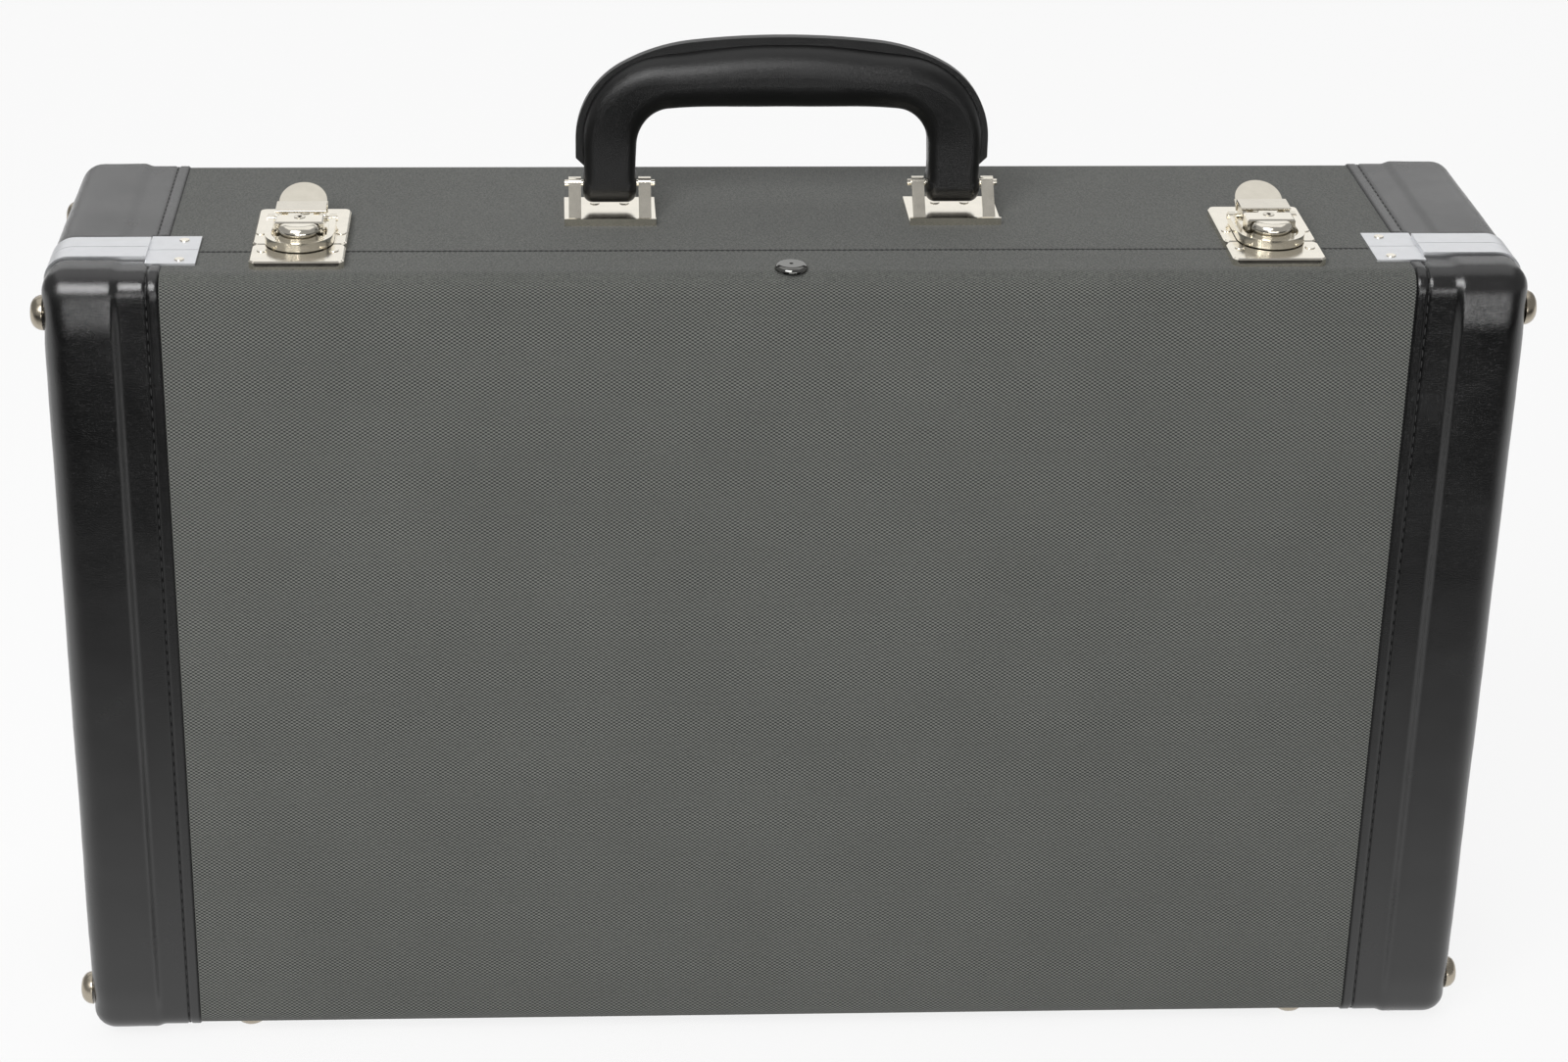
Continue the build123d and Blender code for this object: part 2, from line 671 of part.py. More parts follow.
def hinge_leaf(name, hinge_x, direction, own_knuckles, holes):
    """One leaf: a plate riveted under the case and its share of the knuckles."""
    with BuildPart() as leaf:
        with BuildSketch(Plane((hinge_x, SEAM_Y, HINGE_AXIS_Z + leaf_bottom), z_dir=(0, 0, 1))):
            with Locations((0, direction * (leaf_start + HINGE_LEAF_WIDTH) / 2)):
                Rectangle(HINGE_LENGTH, HINGE_LEAF_WIDTH - leaf_start)
        extrude(amount=HINGE_LEAF_THICKNESS)
        fillet(
            leaf.edges().filter_by(Axis.Z).sort_by(Axis.Y, reverse=direction > 0)[:2],
            HINGE_RADIUS,
        )
        for i in own_knuckles:
            x = hinge_x + knuckle_xs[i]
            width = knuckle_pitch - KNUCKLE_GAP
            with BuildSketch(
                Plane((x - width / 2, SEAM_Y, HINGE_AXIS_Z), x_dir=(0, 1, 0), z_dir=(1, 0, 0))
            ):
                Circle(HINGE_RADIUS)
                with Locations((direction * leaf_start / 2, (leaf_top + leaf_bottom) / 2)):
                    Rectangle(leaf_start, HINGE_LEAF_THICKNESS)
            extrude(amount=width)
        with Locations(Plane((hinge_x, SEAM_Y, HINGE_AXIS_Z), z_dir=(1, 0, 0)).location):
            Cylinder(
                HINGE_PIN_RADIUS + HINGE_PIN_CLEARANCE, 2 * HINGE_LENGTH, mode=Mode.SUBTRACT
            )
        add(holes, mode=Mode.SUBTRACT)
    save(leaf, name)


for side_label, side in SIDES.items():
    hinge_leaf(
        f"base_hinge_{side_label}", side * HINGE_X, 1, range(0, HINGE_KNUCKLES, 2), base_holes
    )
    hinge_leaf(
        f"lid_hinge_{side_label}", side * HINGE_X, -1, range(1, HINGE_KNUCKLES, 2), lid_holes
    )

with BuildPart() as hinge_pins:
    for side in SIDES.values():
        with Locations(
            Plane((side * HINGE_X, SEAM_Y, HINGE_AXIS_Z), z_dir=(1, 0, 0)).location
        ):
            Cylinder(HINGE_PIN_RADIUS, HINGE_LENGTH - KNUCKLE_GAP)
save(hinge_pins, "hinge_pins")


# Latches


def latch_tray(x, y_from, y_to):
    """A pressed plate with turned-down edges, hollow underneath."""
    length = y_to - y_from
    with BuildPart(Plane((x, (y_from + y_to) / 2, BODY_TOP))) as tray:
        Box(
            LATCH_WIDTH, length, PLATE_HEIGHT, align=(Align.CENTER, Align.CENTER, Align.MIN)
        )
        fillet(tray.edges().filter_by(Axis.Z), PLATE_CORNER)
        chamfer(tray.faces().sort_by(Axis.Z)[-1].edges(), PLATE_CHAMFER)
        Box(
            LATCH_WIDTH - 2 * PLATE_WALL,
            length - 2 * PLATE_WALL,
            PLATE_HEIGHT - PLATE_WALL,
            align=(Align.CENTER, Align.CENTER, Align.MIN),
            mode=Mode.SUBTRACT,
        )
    return tray.part


def across(x, width, outside):
    """The two places, left and right of a latch's middle, that bands of one width start from."""
    return (x + outside - width, x - outside)


def latch_plate(side_label, x):
    """The base's plate with the ears that carry the lever."""
    with BuildPart() as plate:
        add(latch_tray(x, BASE_EDGE_Y, SEAM_Y + BASE_PLATE_LENGTH))
        for start_x in across(x, EAR_WIDTH, EAR_OUTSIDE):
            with BuildSketch(side_plane(start_x)):
                with Locations(LEVER_PIVOT):
                    Circle(EAR_RADIUS)
                with Locations((LEVER_PIVOT[0], (LEVER_PIVOT[1] + PLATE_HEIGHT) / 2)):
                    Rectangle(2 * EAR_RADIUS, LEVER_PIVOT[1] - PLATE_HEIGHT)
            extrude(amount=EAR_WIDTH)
        with Locations(side_plane(x, *LEVER_PIVOT).location):
            Cylinder(LEVER_PIN_RADIUS, LATCH_WIDTH, mode=Mode.SUBTRACT)
        add(base_holes, mode=Mode.SUBTRACT)
    save(plate, f"latch_plate_{side_label}")


def lock_body(side_label, x):
    """The block that the key plug turns in."""
    with BuildPart(Plane((x, SEAM_Y + (LOCK_FRONT + LOCK_REAR) / 2, BODY_TOP + PLATE_HEIGHT))) as lock:
        Box(
            LOCK_WIDTH,
            LOCK_REAR - LOCK_FRONT,
            LATCH_TOP - PLATE_HEIGHT,
            align=(Align.CENTER, Align.CENTER, Align.MIN),
        )
        chamfer(lock.faces().sort_by(Axis.Z)[-1].edges(), PLATE_CHAMFER)
        with Locations((0, PLUG_BEHIND_SEAM - (LOCK_FRONT + LOCK_REAR) / 2, LATCH_TOP - PLATE_HEIGHT)):
            Hole(PLUG_RADIUS + PLUG_CLEARANCE, depth=PLUG_LENGTH + PLUG_CLEARANCE)
    save(lock, f"lock_body_{side_label}")


def lock_plug(side_label, x):
    """The turning plug with its keyhole."""
    plug_top = BODY_TOP + LATCH_TOP + PLUG_PROUD
    with BuildPart(Plane((x, SEAM_Y + PLUG_BEHIND_SEAM, plug_top))) as plug:
        Cylinder(
            PLUG_RADIUS,
            PLUG_LENGTH + PLUG_PROUD,
            align=(Align.CENTER, Align.CENTER, Align.MAX),
        )
        with BuildSketch(Plane((x, SEAM_Y + PLUG_BEHIND_SEAM, plug_top))):
            Circle(KEYHOLE_RADIUS)
            with Locations((0, -KEYHOLE_LENGTH / 2)):
                Rectangle(KEYHOLE_SLOT, KEYHOLE_LENGTH)
        extrude(amount=-KEYHOLE_DEPTH, mode=Mode.SUBTRACT)
    save(plug, f"lock_plug_{side_label}")


def latch_catch(side_label, x):
    """The lid's plate with the round stepped nose that the bail closes on."""
    step_radius = BAIL_INSIDE - CATCH_GAP
    with BuildPart() as catch:
        with BuildSketch(Plane((x, SEAM_Y + BAIL_CENTRE, BODY_TOP + CATCH_STEP))):
            Circle(CATCH_NOSE_RADIUS)
            with Locations((0, CATCH_NOSE_RADIUS - BAIL_CENTRE + LOCK_FRONT - GROOVE)):
                Rectangle(4 * CATCH_NOSE_RADIUS, 2 * CATCH_NOSE_RADIUS, mode=Mode.SUBTRACT)
        extrude(amount=LATCH_TOP - CATCH_STEP)
        front_edge = catch.faces().sort_by(Axis.Z)[-1].edges().sort_by(Axis.Y)[0]
        fillet(front_edge, CATCH_NOSE_ROUND)
        with BuildSketch(Plane((x, SEAM_Y + BAIL_CENTRE, BODY_TOP + PLATE_HEIGHT))):
            Circle(step_radius)
            with Locations((0, step_radius - BAIL_CENTRE - SEAM_GAP / 2)):
                Rectangle(4 * step_radius, 2 * step_radius, mode=Mode.SUBTRACT)
        extrude(amount=CATCH_STEP - PLATE_HEIGHT)
        add(latch_tray(x, SEAM_Y - LID_PLATE_LENGTH, LID_EDGE_Y))
        add(lid_holes, mode=Mode.SUBTRACT)
    save(catch, f"latch_catch_{side_label}")


def latch_lever(side_label, x):
    """Raised band, upturned thumb tab and the cheeks that reach down to both pivots."""
    band_top = LATCH_TOP + BAND_RISE
    sheet_middle = band_top - LEVER_SHEET / 2
    with BuildPart() as lever:
        with BuildSketch(side_plane(x - LEVER_WIDTH / 2)):
            with BuildLine():
                Polyline(
                    (BAND_FRONT, sheet_middle), (BAND_REAR, sheet_middle), TAB_ROOT, TAB_TIP
                )
                offset(amount=LEVER_SHEET / 2, kind=Kind.INTERSECTION, side=Side.BOTH)
            make_face()
        extrude(amount=LEVER_WIDTH)
        with BuildSketch(Plane((x, SEAM_Y + TAB_CENTRE, BODY_TOP))):
            Circle(TAB_RADIUS)
            with Locations((0, BAND_FRONT - TAB_CENTRE)):
                Rectangle(LEVER_WIDTH, 2 * (TAB_CENTRE - BAND_FRONT))
        extrude(amount=2 * band_top, mode=Mode.INTERSECT)
        for start_x in across(x, CHEEK_WIDTH, CHEEK_OUTSIDE):
            with BuildSketch(side_plane(start_x)):
                with BuildLine():
                    CenterArc(LEVER_PIVOT, CHEEK_RADIUS, 0, 360)
                    CenterArc(BAIL_PIVOT, BAIL_EYE_RADIUS, 0, 360)
                    Line((BAND_FRONT + LEVER_SHEET / 2, sheet_middle), (BAND_REAR, sheet_middle))
                make_hull()
            extrude(amount=CHEEK_WIDTH)
        with Locations(side_plane(x, *LEVER_PIVOT).location):
            Cylinder(
                LEVER_PIN_RADIUS + LATCH_PIN_CLEARANCE, LATCH_WIDTH, mode=Mode.SUBTRACT
            )
        trunnion_length = BAIL_INSIDE + BAIL_WIRE + LEVER_SHEET / 2 - CHEEK_OUTSIDE
        for direction in (-1, 1):
            trunnion_x = x + direction * (CHEEK_OUTSIDE + trunnion_length / 2)
            with Locations(side_plane(trunnion_x, *BAIL_PIVOT).location):
                Cylinder(BAIL_TRUNNION_RADIUS, trunnion_length)
    save(lever, f"latch_lever_{side_label}")


def latch_bail(side_label, x):
    """The flat U that hangs on the lever and closes round the lid's nose."""
    outside = BAIL_INSIDE + BAIL_WIRE
    with BuildPart() as bail:
        with BuildSketch(Plane((x, SEAM_Y + BAIL_CENTRE, BODY_TOP + BAIL_BOTTOM))):
            Circle(outside)
            with Locations((0, (BAIL_PIVOT[0] - BAIL_CENTRE) / 2)):
                Rectangle(2 * outside, BAIL_PIVOT[0] - BAIL_CENTRE)
            Circle(BAIL_INSIDE, mode=Mode.SUBTRACT)
            with Locations((0, 2 * outside)):
                Rectangle(2 * BAIL_INSIDE, 4 * outside, mode=Mode.SUBTRACT)
        extrude(amount=BAIL_TOP - BAIL_BOTTOM)
        for start_x in across(x, BAIL_WIRE, outside):
            with BuildSketch(side_plane(start_x, *BAIL_PIVOT)):
                Circle(BAIL_EYE_RADIUS)
            extrude(amount=BAIL_WIRE)
        with Locations(side_plane(x, *BAIL_PIVOT).location):
            Cylinder(
                BAIL_TRUNNION_RADIUS + LATCH_PIN_CLEARANCE, LATCH_WIDTH, mode=Mode.SUBTRACT
            )
    save(bail, f"latch_bail_{side_label}")


for side_label, side in SIDES.items():
    latch_plate(side_label, side * LATCH_X)
    lock_body(side_label, side * LATCH_X)
    lock_plug(side_label, side * LATCH_X)
    latch_catch(side_label, side * LATCH_X)
    latch_lever(side_label, side * LATCH_X)
    latch_bail(side_label, side * LATCH_X)

with BuildPart() as lever_pins:
    for side in SIDES.values():
        with Locations(side_plane(side * LATCH_X, *LEVER_PIVOT).location):
            Cylinder(LEVER_PIN_RADIUS, 2 * CHEEK_OUTSIDE)
save(lever_pins, "lever_pins")


# Handle, its pins and its brackets


def pin_plane(x):
    """Across the case, with its origin on the handle's pin."""
    return Plane(
        (x, HANDLE_PIVOT_Y, BODY_TOP + HANDLE_PIVOT_HEIGHT), x_dir=(0, 1, 0), z_dir=(1, 0, 0)
    )


for side_label, side in SIDES.items():
    middle_x = side * HANDLE_PIVOT_X
    plate_under = -HANDLE_PIVOT_HEIGHT
    with BuildPart() as bracket:
        with BuildSketch(pin_plane(middle_x - BRACKET_WIDTH / 2)):
            with Locations(((BRACKET_REAR - BRACKET_FRONT) / 2, plate_under + BRACKET_SHEET / 2)):
                Rectangle(BRACKET_FRONT + BRACKET_REAR, BRACKET_SHEET)
            with Locations((-BRACKET_FRONT + BRACKET_SHEET / 2, plate_under + BRACKET_LIP / 2)):
                Rectangle(BRACKET_SHEET, BRACKET_LIP)
        extrude(amount=BRACKET_WIDTH)
        for start_x in across(middle_x, HOOK_WIDTH, HOOK_INSIDE + HOOK_WIDTH):
            with BuildSketch(pin_plane(start_x)):
                with BuildLine():
                    CenterArc(
                        (-HOOK_ROOT, plate_under + BRACKET_SHEET / 2), HOOK_SHEET / 2, 0, 360
                    )
                    CenterArc(HOOK_SHOULDER, HOOK_SHEET / 2, 0, 360)
                make_hull()
                Circle(HOOK_ROLL_RADIUS)
                Circle(HANDLE_PIN_RADIUS, mode=Mode.SUBTRACT)
            extrude(amount=HOOK_WIDTH)
        add(base_holes, mode=Mode.SUBTRACT)
    save(bracket, f"handle_bracket_{side_label}")

with BuildPart() as handle_pins:
    for side in SIDES.values():
        with Locations(pin_plane(side * HANDLE_PIVOT_X).location):
            Cylinder(HANDLE_PIN_RADIUS, HANDLE_PIN_LENGTH)
save(handle_pins, "handle_pins")

# The grip is swept along its legs, two bends and a shallow arch

bend = math.radians(BEND_ANGLE)
arch_radius = (HANDLE_PIVOT_X - BEND_RADIUS * (1 - math.cos(bend))) / math.cos(bend)
grip_arcs = (
    (BEND_RADIUS, BEND_ANGLE),
    (arch_radius, 180 - 2 * BEND_ANGLE),
    (BEND_RADIUS, BEND_ANGLE),
)
lean = math.radians(FIN_BEND_ANGLE)
flat = math.radians(FIN_BEND_ANGLE + FIN_SHOULDER_ANGLE)
fin_bend_length = FIN_BEND_RADIUS * (1 - math.cos(lean))
fin_shoulder_length = FIN_SHOULDER_RADIUS * (math.cos(lean) - math.cos(flat))
fin_arcs = (
    (FIN_BEND_RADIUS, FIN_BEND_ANGLE),
    (FIN_SHOULDER_RADIUS, FIN_SHOULDER_ANGLE),
    (
        (FIN_HALF_LENGTH - fin_bend_length - fin_shoulder_length) / math.cos(flat),
        180 - 2 * (FIN_BEND_ANGLE + FIN_SHOULDER_ANGLE),
    ),
    (FIN_SHOULDER_RADIUS, FIN_SHOULDER_ANGLE),
    (FIN_BEND_RADIUS, FIN_BEND_ANGLE),
)
front_of_handle = Plane((0, HANDLE_PIVOT_Y, BODY_TOP), x_dir=(1, 0, 0), z_dir=(0, -1, 0))
sections = GRIP_SECTIONS + tuple((1 - s[0], *s[1:]) for s in GRIP_SECTIONS[-2::-1])

with BuildPart() as leg_end_form:
    Cylinder(LEG_THICKNESS / 2, LEG_WIDTH)
    fillet(leg_end_form.edges().filter_by(GeomType.CIRCLE), LEG_END_ROUND)

with BuildPart() as handle:
    with BuildLine(front_of_handle) as grip_path:
        edge = Line((-HANDLE_PIVOT_X, HANDLE_PIVOT_HEIGHT), (-HANDLE_PIVOT_X, LEG_TOP))
        for radius, angle in grip_arcs:
            edge = JernArc(edge @ 1, edge % 1, radius, -angle)
        Line(edge @ 1, (HANDLE_PIVOT_X, HANDLE_PIVOT_HEIGHT))
    path = grip_path.wires()[0]
    for place, width, thickness, corner in sections:
        with BuildSketch(Plane(path @ place, x_dir=(0, 1, 0), z_dir=path % place)):
            RectangleRounded(thickness, width, corner)
    sweep(path=path, multisection=True)
    with BuildSketch(front_of_handle.offset(-FIN_THICKNESS / 2)):
        with BuildLine():
            edge = Line((-FIN_HALF_LENGTH, FIN_START), (-FIN_HALF_LENGTH, FIN_BEND_START))
            for radius, angle in fin_arcs:
                edge = JernArc(edge @ 1, edge % 1, radius, -angle)
            edge = Line(edge @ 1, (FIN_HALF_LENGTH, FIN_START))
            edge = Line(edge @ 1, (FIN_HALF_LENGTH - FIN_CUT, FIN_START - FIN_CUT))
            edge = Line(edge @ 1, (HANDLE_PIVOT_X, FIN_START - FIN_CUT))
            edge = Line(edge @ 1, (HANDLE_PIVOT_X, LEG_TOP))
            for radius, angle in grip_arcs:
                edge = JernArc(edge @ 1, edge % 1, radius, angle)
            edge = Line(edge @ 1, (-HANDLE_PIVOT_X, FIN_START - FIN_CUT))
            edge = Line(edge @ 1, (FIN_CUT - FIN_HALF_LENGTH, FIN_START - FIN_CUT))
            Line(edge @ 1, (-FIN_HALF_LENGTH, FIN_START))
        make_face()
    extrude(amount=FIN_THICKNESS)
    with Locations(*[pin_plane(side * HANDLE_PIVOT_X).location for side in SIDES.values()]):
        add(leg_end_form.part)
        Cylinder(
            HANDLE_PIN_RADIUS + HANDLE_PIN_CLEARANCE, HANDLE_PIN_LENGTH, mode=Mode.SUBTRACT
        )
save(handle, "handle")


# Centre rivet and the blade that keeps the long seam in line

blade_top = CAVITY_TOP - BLADE_CLEARANCE
with BuildPart(Plane((0, centre_rivet_y, BODY_TOP))) as centre_rivet:
    Cylinder(
        CENTRE_RIVET_RADIUS, CENTRE_RIVET_HEIGHT, align=(Align.CENTER, Align.CENTER, Align.MIN)
    )
    fillet(centre_rivet.edges().sort_by(Axis.Z)[-1], 0.9 * CENTRE_RIVET_HEIGHT)
    Cylinder(
        CENTRE_RIVET_SHANK,
        BODY_TOP - blade_top + BLADE_SHEET,
        align=(Align.CENTER, Align.CENTER, Align.MAX),
    )
    Cylinder(CENTRE_RIVET_HOLE, 4 * CENTRE_RIVET_HEIGHT, mode=Mode.SUBTRACT)
save(centre_rivet, "centre_rivet")

with BuildPart() as seam_blade:
    with BuildSketch(Plane.XY.offset(blade_top)):
        blade_front = CAVITY_FRONT_Y + BLADE_FRONT_GAP
        blade_rear = SEAM_Y + BLADE_REACH
        with Locations((0, (blade_front + blade_rear) / 2)):
            RectangleRounded(BLADE_WIDTH, blade_rear - blade_front, BLADE_SHEET)
        with Locations((0, centre_rivet_y)):
            Circle(CENTRE_RIVET_SHANK, mode=Mode.SUBTRACT)
    extrude(amount=-BLADE_SHEET)
    spacer_front = CAVITY_FRONT_Y + EDGE_RADIUS - SKIN - WALL - LINING
    with BuildSketch(Plane.XY.offset(blade_top)):
        with Locations((0, spacer_front + SPACER_LENGTH / 2)):
            Rectangle(BLADE_WIDTH / 2, SPACER_LENGTH)
        with Locations((0, centre_rivet_y)):
            Circle(CENTRE_RIVET_SHANK, mode=Mode.SUBTRACT)
    extrude(amount=BLADE_CLEARANCE)
save(seam_blade, "seam_blade")


# Stays

opening = math.radians(LID_OPENING)
half_angle = math.asin(STAY_HALF_SPAN / STAY_RADIUS)
longest_span = 2 * STAY_RADIUS * math.sin(half_angle + opening / 2)
arm_outer_x = CAVITY_X - STAY_SIDE_GAP
arm_inner_x = arm_outer_x - STAY_SHEET
head_x = arm_inner_x - STUD_HEAD_GAP

with BuildPart() as stud_form:
    Cylinder(
        STUD_RADIUS,
        STUD_EMBED + LINING + STAY_SIDE_GAP + STAY_SHEET + STUD_HEAD_GAP,
        align=(Align.CENTER, Align.CENTER, Align.MAX),
    )
    Cylinder(STUD_HEAD_RADIUS, STUD_HEAD, align=(Align.CENTER, Align.CENTER, Align.MIN))


def stay_studs(name, direction):
    """One stud in each end wall, on the lid's side or the base's side of the seam."""
    with BuildPart() as studs:
        for side in SIDES.values():
            with Locations(
                Plane(
                    (side * head_x, SEAM_Y + direction * STAY_HALF_SPAN, STAY_PIVOT_Z),
                    z_dir=(-side, 0, 0),
                ).location
            ):
                add(stud_form.part)
    save(studs, name)


stay_studs("lid_stay_pivots", -1)
stay_studs("base_stay_studs", 1)

for side_label, side in SIDES.items():
    start_x = side * arm_outer_x if side < 0 else arm_inner_x
    slot_start = 2 * STAY_HALF_SPAN - STUD_CLEARANCE
    slot_end = longest_span + STUD_CLEARANCE
    slot_radius = STUD_RADIUS + STUD_CLEARANCE
    arm_end = slot_end + slot_radius + STAY_END
    with BuildPart() as stay_arm:
        with BuildSketch(
            Plane(
                (start_x, SEAM_Y - STAY_HALF_SPAN, STAY_PIVOT_Z), x_dir=(0, 1, 0), z_dir=(1, 0, 0)
            )
        ):
            with Locations(((arm_end - STAY_WIDTH / 2) / 2, 0)):
                SlotCenterToCenter(arm_end - STAY_WIDTH / 2, STAY_WIDTH)
            with Locations(((slot_start + slot_end) / 2, 0)):
                SlotCenterToCenter(slot_end - slot_start, 2 * slot_radius, mode=Mode.SUBTRACT)
            Circle(STUD_RADIUS + STAY_PIVOT_CLEARANCE, mode=Mode.SUBTRACT)
        extrude(amount=STAY_SHEET)
    save(stay_arm, f"stay_arm_{side_label}")


# Fittings inside the base: the right set is the left set turned half a turn

FITTING_FRONT_Y = SEAM_Y + FITTING_FRONT


def fitting_sketch_plane():
    """A front view at the lining's floor; what is drawn there is raised towards the front."""
    return Plane((0, CAVITY_BACK_Y, MIDDLE_Z), x_dir=(1, 0, 0), z_dir=(0, -1, 0))


def neck_block(side_label, side):
    """Holds a bell's neck in a round-bottomed slot."""
    height = CAVITY_BACK_Y - FITTING_FRONT_Y
    middle = -side * (TRUMPET_AXIS + (NECK_BLOCK_OUTSIDE - NECK_BLOCK_INSIDE) / 2)
    with BuildPart() as block:
        with BuildSketch(fitting_sketch_plane()):
            with Locations((side * NECK_BLOCK_X, middle)):
                RectangleRounded(
                    NECK_BLOCK_WIDTH, NECK_BLOCK_OUTSIDE + NECK_BLOCK_INSIDE, BLOCK_ROUND
                )
        extrude(amount=height)
        fillet(block.faces().sort_by(Axis.Y)[0].edges(), BLOCK_ROUND / 2)
        with BuildSketch(
            Plane((side * NECK_BLOCK_X, 0, MIDDLE_Z), x_dir=(0, 1, 0), z_dir=(1, 0, 0))
        ):
            slot_bottom = CAVITY_BACK_Y - NECK_SLOT_FLOOR
            with Locations((slot_bottom - NECK_SLOT / 2, -side * TRUMPET_AXIS)):
                Circle(NECK_SLOT / 2)
            with Locations((slot_bottom - NECK_SLOT / 2 - CASE_DEPTH / 2, -side * TRUMPET_AXIS)):
                Rectangle(CASE_DEPTH, NECK_SLOT)
        extrude(amount=NECK_BLOCK_WIDTH, both=True, mode=Mode.SUBTRACT)
    save(block, f"neck_block_{side_label}")


def tail_block(side_label, side):
    """Holds the other trumpet's mouthpipe end in a narrow slot."""
    height = CAVITY_BACK_Y - FITTING_FRONT_Y
    with BuildPart() as block:
        with BuildSketch(fitting_sketch_plane()):
            with Locations((side * TAIL_BLOCK_X, side * (TRUMPET_AXIS + TAIL_BLOCK_OFFSET))):
                RectangleRounded(TAIL_BLOCK_WIDTH, 2 * TAIL_BLOCK_HALF, BLOCK_ROUND)
        extrude(amount=height)
        fillet(block.faces().sort_by(Axis.Y)[0].edges(), BLOCK_ROUND / 2)
        slot_z = side * (TRUMPET_AXIS + TAIL_SLOT_OFFSET)
        with BuildSketch(
            Plane((side * TAIL_BLOCK_X, 0, MIDDLE_Z), x_dir=(0, 1, 0), z_dir=(1, 0, 0))
        ):
            slot_bottom = CAVITY_BACK_Y - TAIL_SLOT_FLOOR
            with Locations((slot_bottom - TAIL_SLOT / 2, slot_z)):
                Circle(TAIL_SLOT / 2)
            with Locations((slot_bottom - TAIL_SLOT / 2 - CASE_DEPTH / 2, slot_z)):
                Rectangle(CASE_DEPTH, TAIL_SLOT)
        extrude(amount=TAIL_BLOCK_WIDTH, both=True, mode=Mode.SUBTRACT)
    save(block, f"tail_block_{side_label}")


def mouthpiece_block(side_label, side):
    """Two stepped bores that take a mouthpiece each, cup up."""
    height = CAVITY_BACK_Y - FITTING_FRONT_Y
    with BuildPart() as block:
        with BuildSketch(fitting_sketch_plane()):
            with Locations((side * MOUTHPIECE_BLOCK_X, -side * TRUMPET_AXIS)):
                RectangleRounded(MOUTHPIECE_BLOCK_WIDTH, MOUTHPIECE_BLOCK_LENGTH, BLOCK_ROUND)
        extrude(amount=height)
        fillet(block.faces().sort_by(Axis.Y)[0].edges(), BLOCK_ROUND / 4)
        for direction in (-1, 1):
            bore_z = MIDDLE_Z - side * TRUMPET_AXIS + direction * MOUTHPIECE_SPACING / 2
            with Locations(
                Plane(
                    (side * MOUTHPIECE_BLOCK_X, FITTING_FRONT_Y, bore_z), z_dir=(0, -1, 0)
                ).location
            ):
                CounterBoreHole(
                    MOUTHPIECE_BORE, MOUTHPIECE_CUP, MOUTHPIECE_CUP_DEPTH, MOUTHPIECE_DEPTH
                )
    save(block, f"mouthpiece_block_{side_label}")


def valve_rest(side_label, side):
    """A low pad under a trumpet's valves."""
    with BuildPart() as rest:
        with BuildSketch(fitting_sketch_plane()):
            with Locations((side * REST_X, side * TRUMPET_AXIS)):
                RectangleRounded(REST_WIDTH, 2 * REST_HALF, BLOCK_ROUND)
        extrude(amount=REST_HEIGHT)
        fillet(rest.faces().sort_by(Axis.Y)[0].edges(), BLOCK_ROUND * 0.8)
    save(rest, f"valve_rest_{side_label}")


def accessory_box(side_label, side, hinged):
    """An open box for oil, slide grease and a cloth; the left one carries a hinged lid."""
    with BuildPart() as box:
        with BuildSketch(fitting_sketch_plane()):
            with Locations((side * BOX_X, side * BOX_MIDDLE)):
                Rectangle(BOX_LENGTH, BOX_WIDTH)
        extrude(amount=BOX_HEIGHT)
        with BuildSketch(fitting_sketch_plane().offset(BOX_WALL)):
            with Locations((side * BOX_X, side * BOX_MIDDLE)):
                Rectangle(BOX_LENGTH - 2 * BOX_WALL, BOX_WIDTH - 2 * BOX_WALL)
        extrude(amount=BOX_HEIGHT, mode=Mode.SUBTRACT)
        if hinged:
            add(box_knuckles(BOX_KNUCKLE_X + BOX_KNUCKLE, True))
            add(box_knuckles(-BOX_KNUCKLE_X - BOX_KNUCKLE, True))
            add(box_hinge_bore(BOX_PIN_RADIUS), mode=Mode.SUBTRACT)
    save(box, f"accessory_box_{side_label}")


box_front_y = CAVITY_BACK_Y - BOX_HEIGHT
box_middle_z = MIDDLE_Z - BOX_MIDDLE
box_hinge_y = box_front_y - BOX_HINGE_RADIUS - BOX_HINGE_GAP
box_hinge_z = box_middle_z - BOX_WIDTH / 2 + BOX_HINGE_RADIUS


def box_knuckles(offset_x, on_box):
    """One knuckle of the small lid's hinge, with the web that ties it down."""
    with BuildPart() as knuckle:
        middle = Plane(
            (-BOX_X + offset_x, box_hinge_y, box_hinge_z), x_dir=(0, 1, 0), z_dir=(1, 0, 0)
        )
        with BuildSketch(middle):
            Circle(BOX_HINGE_RADIUS)
            if on_box:
                web_length = BOX_HINGE_RADIUS + BOX_HINGE_GAP
                with Locations((web_length / 2, -BOX_HINGE_RADIUS / 2)):
                    Rectangle(web_length, BOX_HINGE_RADIUS)
        extrude(amount=BOX_KNUCKLE / 2, both=True)
    return knuckle.part


def box_hinge_bore(radius):
    with BuildPart() as bore:
        with Locations(Plane((-BOX_X, box_hinge_y, box_hinge_z), z_dir=(1, 0, 0)).location):
            Cylinder(radius, 2 * BOX_LENGTH)
    return bore.part


for side_label, side in SIDES.items():
    neck_block(side_label, side)
    tail_block(side_label, side)
    mouthpiece_block(side_label, side)
    valve_rest(side_label, side)
    accessory_box(side_label, side, side < 0)

